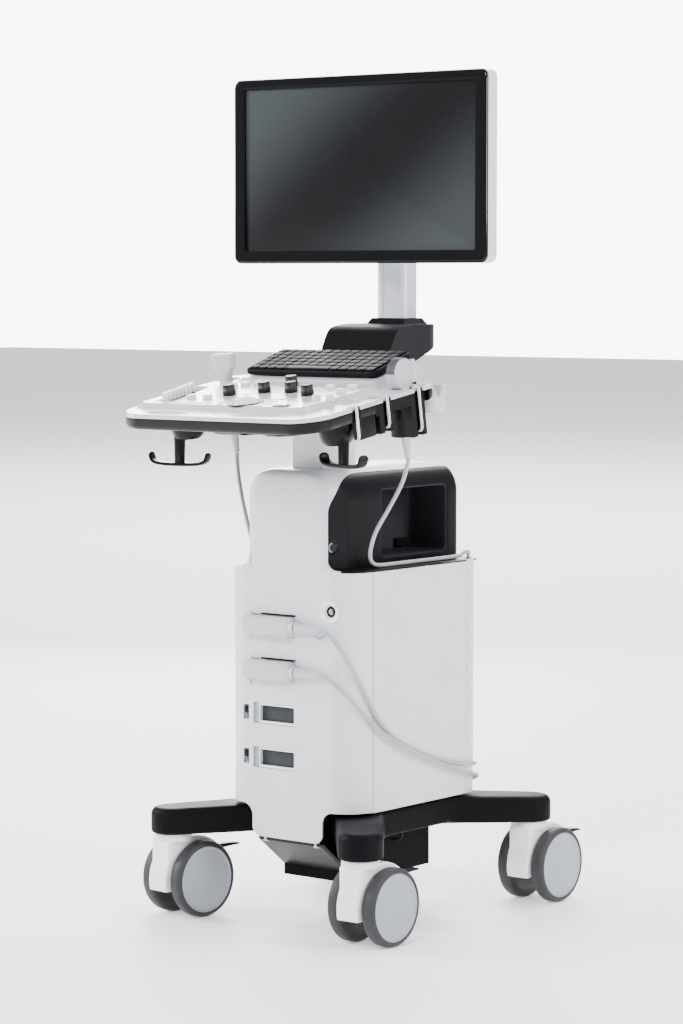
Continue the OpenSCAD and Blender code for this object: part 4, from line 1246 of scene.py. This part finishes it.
def slot_trim(side, y, bottom):
    """White lining down the rear wall of a cable slot, with its little hook, and the black post behind it."""
    path = [(y + 6.2, 6.2), (y + 6.2, 0), (y + 6.2, bottom + 9), (y + 5.4, bottom + 3.5), (y + 2.6, bottom),
        (y - 0.6, bottom - 0.8)]
    line = smooth_path([(side * 203.2, a, b) for a, b in path], 3)
    strip = sweep(line, lambda t: [(2.8 * a, 0.9 * b) for a, b in circle(1, 14)], (1, 0, 0))
    post = soft_box(*sorted((side * 197.4, side * 205.4)), y + 7.4, y + 14, bottom + 6, 5.6, 2.6, 1.8)
    return strip, post


trims = [slot_trim(1, NOTCH_Y, -46), slot_trim(1, RIGHT_CUPS[0], -40), slot_trim(1, RIGHT_CUPS[1], -62),
         slot_trim(-1, LEFT_CUPS[0], -40), slot_trim(-1, LEFT_CUPS[1], -62)]
piece("slot_linings", *joined(*(t[0] for t in trims)), RIM_WHITE, "console", DECK)
piece("slot_posts", *joined(*(t[1] for t in trims)), BLACK_SATIN, "console", DECK)
cup_floor = joined(*(
    moved(ring_of([(11, 0), (16.6, 0), (16.6, 2.4), (11, 1)], 40), shift(sx * HOLDER_X, cy, low))
    for sx, cups in ((1, RIGHT_CUPS), (-1, LEFT_CUPS)) for cy, low in zip(cups, (-44, -66))))
piece("cup_seats", *cup_floor, CHARCOAL, "console", DECK)

gel_profile = [(0, 828), (17, 828), (24, 830.5), (27.4, 836), (28, 845), (28, 871), (27.2, 872),
    (25.8, 872), (25.1, 871),
               (25, 842), (22, 834), (15, 831.5), (0, 831.2)]
gel_verts, gel_faces = lathe(gel_profile, 96)


def notched(v):
    """Rim points inside the V notch drop to its edge."""
    x, y, z = v
    a = math.atan2(y, x) - math.radians(342)
    a = abs(math.atan2(math.sin(a), math.cos(a)))
    floor_z = 852 + 1.87 * 26.5 * a
    return (x, y, min(z, max(floor_z, 846))) if z > 846 else v


piece("gel_cup_shell", *([notched(v) for v in gel_verts], gel_faces), GEL_GREY, "console",
      shift(0.180, -0.036, 0), 60, ("gel_cup",))

# ---------------------------------------------------------------- controls on the console


def on_bank(part, x, y):
    """A part moved to its place on the control bank."""
    return moved(part, shift(x, y, 0))


def fluted(profile, count, depth, steps=180):
    """Turned shape with fine upright ridges where its radius exceeds the first point's."""
    verts, faces = lathe(profile, steps)
    out = []
    for x, y, z in verts:
        r = math.hypot(x, y)
        a = math.atan2(y, x)
        k = 1 - depth / max(r, 1) * (0.5 + 0.5 * math.cos(count * a)) if r > 7.5 else 1
        out.append((x * k, y * k, z))
    return out, faces


knob_profile = [(3, 3), (3, 14.3), (9.6, 14.6), (10.5, 15.4), (10.5, 21.5), (10.2, 22.4), (9.7, 22.8),
    (9.6, 30.2),
                (9.2, 31.4), (8.4, 32), (7.2, 32), (6.6, 31.6), (0, 31.5)]
for k, (x, y) in enumerate(KNOBS):
    piece(f"knob_{k + 1}", *on_bank(fluted(knob_profile, 36, 0.35), x, y), KNOB_BLACK,
        f"rotary_knob_{k + 1}", DECK, 50,
          (f"rotary_knob_{k + 1}",), "dark_grey")
piece("knob_rings", *joined(*(
    on_bank(ring_of([(10.9, 13.6), (11.2, 14.5), (12.6, 14.7), (13.2, 13.9), (13.2, 13.2), (10.9, 13.2)],
    48), x, y) for x, y in KNOBS)),
    MID_GREY, "console", DECK)
ball_profile = [(25 * math.cos(math.radians(a)), 25 * math.sin(math.radians(a))) for a in range(-90, 91, 5)]
ball_profile[0], ball_profile[-1] = (0, -25), (0, 25)
piece("ball", *on_bank(lathe(ball_profile, 72), *BALL), RIM_WHITE, "trackball", DECK, 60, ("trackball",),
    "ball_white")
piece("ball_ring", *on_bank(ring_of([(21.6, 12.4), (22, 14.6), (24, 15.4), (27.5, 15.2), (29.4, 14.2),
    (29.6, 13.2), (22, 12)], 72), *BALL),
      SMOKE, "console", DECK)
sliders = []
for k in range(8):
    x, y = -158 - 2.7 * k, -218 + 12.6 * k
    sliders.append(soft_box(x, x + 9, y, y + 8, BANK - 3.5, BANK + 12.3, 2.2, 1.4))
piece("slider_fins", *joined(*sliders), KEY_WHITE, "gain_sliders", DECK, 38, ("gain_sliders",),
    "deck_white")
slot_bed = plate(lambda x, y: slider_pocket(x, y) - 1.5, level(10.3), level(9.4),
                 (-190, -134, -224, -110), 2.0)
piece("slider_bed", *slot_bed, BLACK, "console", DECK)
switch_parts = [on_bank(soft_box(-7, 7, -6, 6, BANK - 1.5, BANK + 6.5, 3.2, 1.8), x, y) for x,
    y in SWITCHES]
for x, y in TALL_SWITCHES:
    rings = []
    for z, hx, hy in ((12.5, 7, 6), (15, 7, 6), (19, 6.6, 5.6), (21.4, 5.6, 4.8), (22.4, 3.8, 3.2)):
        rings.append(box_ring(hx, hy, min(hx, hy) * 0.9, z))
    switch_parts.append(on_bank(loft(rings), x, y))
piece("switch_caps", *joined(*switch_parts), KEY_WHITE, "push_switches", DECK, 38, ("push_switches",),
    "deck_white")
oval = loft([box_ring(hx, hy, hy, z, corner=10) for z, hx,
    hy in ((12.5, 15, 7.4), (14.8, 15, 7.4), (15.6, 14, 6.4), (15.8, 12, 4.6))])
piece("oval_button", *on_bank(oval, *OVAL), SMOKE, "push_switches", DECK)
piece("oval_ring", *on_bank(plate(
    lambda x, y: np.minimum(in_box(x, y, -17.6, 17.6, -9.8, 9.8, 9.7),
    -in_box(x, y, -15.6, 15.6, -8, 8, 7.9)),
    lambda x, y, f: 14.7 - rim(f, 0.8), level(12.6), (-20, 20, -12, 12), 1.0), *OVAL), MID_GREY, "console",
    DECK)

flat_keys, icons = [], []


def flat_key(x, y, w, d, angle=0):
    at = shift(x, y, 0) @ turn(angle, "Z")
    flat_keys.append(moved(soft_box(-w / 2, w / 2, -d / 2, d / 2, 12.6, 15.0, 2.4, 0.9), at))
    icons.append(moved(soft_box(-w * 0.18, w * 0.18, -0.7, 0.7, 14.9, 15.14, 0.5, 0.1, 2), at))


for k in range(5):
    flat_key(-132 + 19 * k, -229 + 1.5 * k, 15, 9, 3)
for a in (150, 180, 210, 332, 358, 24, 50):
    flat_key(BALL[0] + 45 * math.cos(math.radians(a)), BALL[1] + 41 * math.sin(math.radians(a)), 15, 9,
        (a - 90) % 180 - 90 if 60 < a < 300 else 0)
for k in range(4):
    flat_key(-60 + 22 * k, -98 + 3 * math.sin(k), 14, 8)
for x, y in ((58, -176), (58, -104), (104, -140), (-92, -150), (-40, -150), (132, -208), (134, -190)):
    flat_key(x, y, 13, 8)
piece("flat_keys", *joined(*flat_keys), KEY_WHITE, "console", DECK)
piece("key_icons", *joined(*icons), MID_GREY, "console", DECK)

keyboard = plate(
    lambda x, y: in_box(x, y, -136, 136, 0, 103, 13),
    lambda x, y, f: 10 - 4.4 * smoothstep(in_box(x, y, -129.7, 129.7, 3.8, 99.2, 4) / 1.2) - rim(f, 3.4),
    lambda x, y, f: rim(f, 2.4), (-138, 138, -2, 105), 1.5)
piece("keyboard_shell", *keyboard, KEY_BLACK, "console", KEYS, 50, ("keyboard_body",), "key_black")
KEY_WIDE, KEY_PITCH, ROW_PITCH = 16.6, 18.3, 15.5
caps = []
for row in range(6):
    for col in range(14):
        if row == 0 and 4 < col < 9:
            continue
        wide = KEY_WIDE + (4 * KEY_PITCH if row == 0 and col == 4 else 0)
        x, y = -127.5 + col * KEY_PITCH, 5.2 + row * ROW_PITCH
        caps.append(soft_box(x, x + wide, y, y + 14, 8.3, 12.3, 2.6, 1.3, 3))
piece("key_caps", *joined(*caps), KEY_BLACK, "keycaps", KEYS, 38, ("keycaps",), "key_black")

# ---------------------------------------------------------------- probes


def probe_rings(sections):
    return loft([box_ring(hx, hy, min(hx, hy) * round_share - 0.01, z, corner=8) for z, hx, hy,
        round_share in sections])


linear_at = DECK @ shift(-HOLDER_X * MM, LEFT_CUPS[1] * MM, -0.066) @ turn(-3, "Y") @ shift(0, 0, 0.066)
tail = [(-108, 3.6, 3.6, 1), (-107.4, 4.6, 4.6, 1), (-78, 7.3, 7.3, 1), (-76, 8, 8, 1),
    (-58, 10.6, 10.6, 1), (-40, 12.8, 12.8, 1)]
piece("linear_probe_body", *probe_rings([*tail, (-20, 13, 13, 1), (2, 12.4, 12, 1), (14, 11, 8.6, 0.9),
    (22, 11.4, 7.4, 0.8),
      (27, 14, 7.1, 0.7), (32, 19.4, 7, 0.6), (35.5, 22, 7.3, 0.5), (39, 22.4, 7.4, 0.45),
      (53, 22.4, 7.4, 0.45),
      (55.6, 21.8, 6.8, 0.5), (56.4, 20.6, 5.6, 0.6)]), PROBE_WHITE, "console", linear_at, 45,
      ("linear_probe",), "probe_white")
piece("linear_probe_lens", *probe_rings([(55, 20, 5.2, 0.6), (56.8, 20, 5.2, 0.6), (57, 19, 4.4, 0.6)]),
    PROBE_GREY, "console", linear_at)

convex_at = DECK @ shift(HOLDER_X * MM, RIGHT_CUPS[1] * MM, 0)
head = moved(lathe([(0, -10), (21, -10), (24.2, -9.2), (25.6, -7), (26, -4), (26, 4), (25.6, 7),
    (24.2, 9.2), (21, 10), (0, 10)], 72),
             shift(0, 0, 28) @ turn(90, "Y"))
stem = probe_rings([*tail, (-20, 13, 13, 1), (-4, 12.4, 12.8, 1), (4, 10.6, 12.2, 0.9), (11, 9.7, 14, 0.8),
    (18, 9.6, 19, 0.7), (25, 9.6, 23.4, 0.6), (29, 9.6, 23.8, 0.6)])
piece("convex_probe_body", *joined(head, stem), PROBE_WHITE, "console", convex_at, 40, ("convex_probe",),
    "probe_white")
lens_rings = []
for a in np.linspace(math.radians(35), math.radians(172), 30):
    lens_rings.append([(x, r * math.cos(a), 28 + r * math.sin(a)) for x,
        r in ((-8, 25), (-7.6, 26.3), (7.6, 26.3), (8, 25))])
piece("convex_probe_lens", *loft(lens_rings), LENS, "console", convex_at, 40)

# ---------------------------------------------------------------- cable hooks


def hook(side, z, angle):
    bar_path = smooth_path([(-50.5, 0, 20), (-50, 0, 12), (-45.5, 0, 5), (-34, 0, 1.6), (-14, 0, 0.4),
        (14, 0, 0.4),
                            (34, 0, 1.6), (45.5, 0, 5), (50, 0, 12), (50.5, 0, 20)], 2)

    def section(t):
        end = abs(2 * t - 1)
        wide = 9.3
        thick = 3.0 - 0.5 * max(0, (end - 0.7) / 0.3)
        cap = math.sqrt(max(0.1, 1 - max(0, (end - 0.9) / 0.1) ** 2))
        return [(wide * cap * math.copysign(abs(a) ** 0.55, a),
            thick * cap * math.copysign(abs(b) ** 0.55, b)) for a, b in circle(1, 20)]

    bar = moved(sweep(bar_path, section, (0, 1, 0)), shift(0, 0, z + 3) @ turn(angle, "Z"))
    post = lathe([(8.4, z + 2), (8.6, z + 14), (9.4, z + 46), (9.6, z + 49), (9, z + 50), (9, z + 52),
        (10.4, z + 53), (11, z + 70), (11, z + 86)], 12)
    grooves = joined(*(moved(soft_box(-0.8, 0.8, -8.6, -7.2, z + 8, z + 48, 0.6, 0.3),
        turn(a, "Z")) for a in (-22, 22)))
    return moved(joined(bar, post), shift(side * 168, -239, 0)), moved(grooves, shift(side * 168, -239, 0))


for side, z, angle, word in ((-1, 739, 14.5, "left"), (1, 748, -14.5, "right")):
    bar, grooves = hook(side, z, angle)
    piece("cable_hook_" + word, *bar, BLACK_SATIN, "console", None, 35,
        ("cable_hooks",) if side < 0 else (), "black_plastic")
    piece("cable_hook_grooves_" + word, *grooves, CHARCOAL, "console")
    horn = joined(
        moved(lathe([(0, -17), (27.4, -17), (28, -34), (27.6, -42), (25, -50), (19, -56), (0, -56)], 56),
        shift(side * 152, -168, 0)),
        moved(lathe([(0, -17), (16, -17), (14, -30), (12, -40), (10.4, -46), (0, -46)], 40),
        shift(side * 168, -168, 0)))
    piece("hook_boss_" + word, *horn, BLACK_SATIN, "console", DECK, 40)

# ---------------------------------------------------------------- mast and monitor

speaker = dressed("speaker_housing", SMOKE, 3.0, 3, 28, name="speaker_body", slot="black_plastic")
speaker.data.materials.append(SPEAKER)
for polygon in speaker.data.polygons:
    polygon.material_index = 0 if abs(polygon.normal.x) > 0.6 else 1
dressed("monitor_pole", SILVER, 0.8, slot="silver")
dressed("monitor_bracket", CHARCOAL, 1.0)
dressed("monitor_rear_case", WHITE, 2.2, 3, 24, slot="white_cover")
MONITOR_HX, MONITOR_HZ, SCREEN_Z = 261.0, 153.0, 1220.0
SCREEN_HX, SCREEN_HZ = 238.0, 134.0


def monitor_outline(x, z):
    middle = SCREEN_Z - 1.5
    return in_box(x, z, -MONITOR_HX, MONITOR_HX, middle - MONITOR_HZ, middle + MONITOR_HZ, 13)


def beside_screen(x, z):
    return -in_box(x, z, -SCREEN_HX, SCREEN_HX, SCREEN_Z - SCREEN_HZ, SCREEN_Z + SCREEN_HZ, 2.5)


def bezel_inside(x, z):
    return np.minimum(monitor_outline(x, z), beside_screen(x, z))


def bezel_face(x, z, f):
    return -8.05 - rim(monitor_outline(x, z), 2.4) - 0.4 * smoothstep((3.5 - beside_screen(x, z)) / 1.5)


def bezel_back(x, z, f):
    return -12.0 - 9.8 * smoothstep((monitor_outline(x, z) - 4.5) / 0.1)


bezel = plate(bezel_inside, bezel_face, bezel_back, (-264, 264, 1062, 1375), 2.0)
piece("bezel", *faced(bezel), GLOSS_BLACK, "monitor", None, 50, ("monitor_bezel",), "gloss_black")
piece("screen", *faced(soft_box(-241, 241, SCREEN_Z - 137, SCREEN_Z + 137, -20.5, -12.3, 3, 0.6)), SCREEN,
    "monitor", None, 38,
      ("monitor_screen",), "screen")

# ---------------------------------------------------------------- declared cords

for obj, path in (part for parts in cables.values() for part in parts):
    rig.cord(obj, exit=path[0], length=run_length(path), diameter=2 * CABLE_R * MM, far_end="object",
        stiffness="medium",
            lay="loose", path=path)

with open("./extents.json", "w") as out:
    json.dump({"cad": [list(map(float, c)) for c in cad_box],
        "visual": [list(map(float, c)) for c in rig.bounds()]}, out)
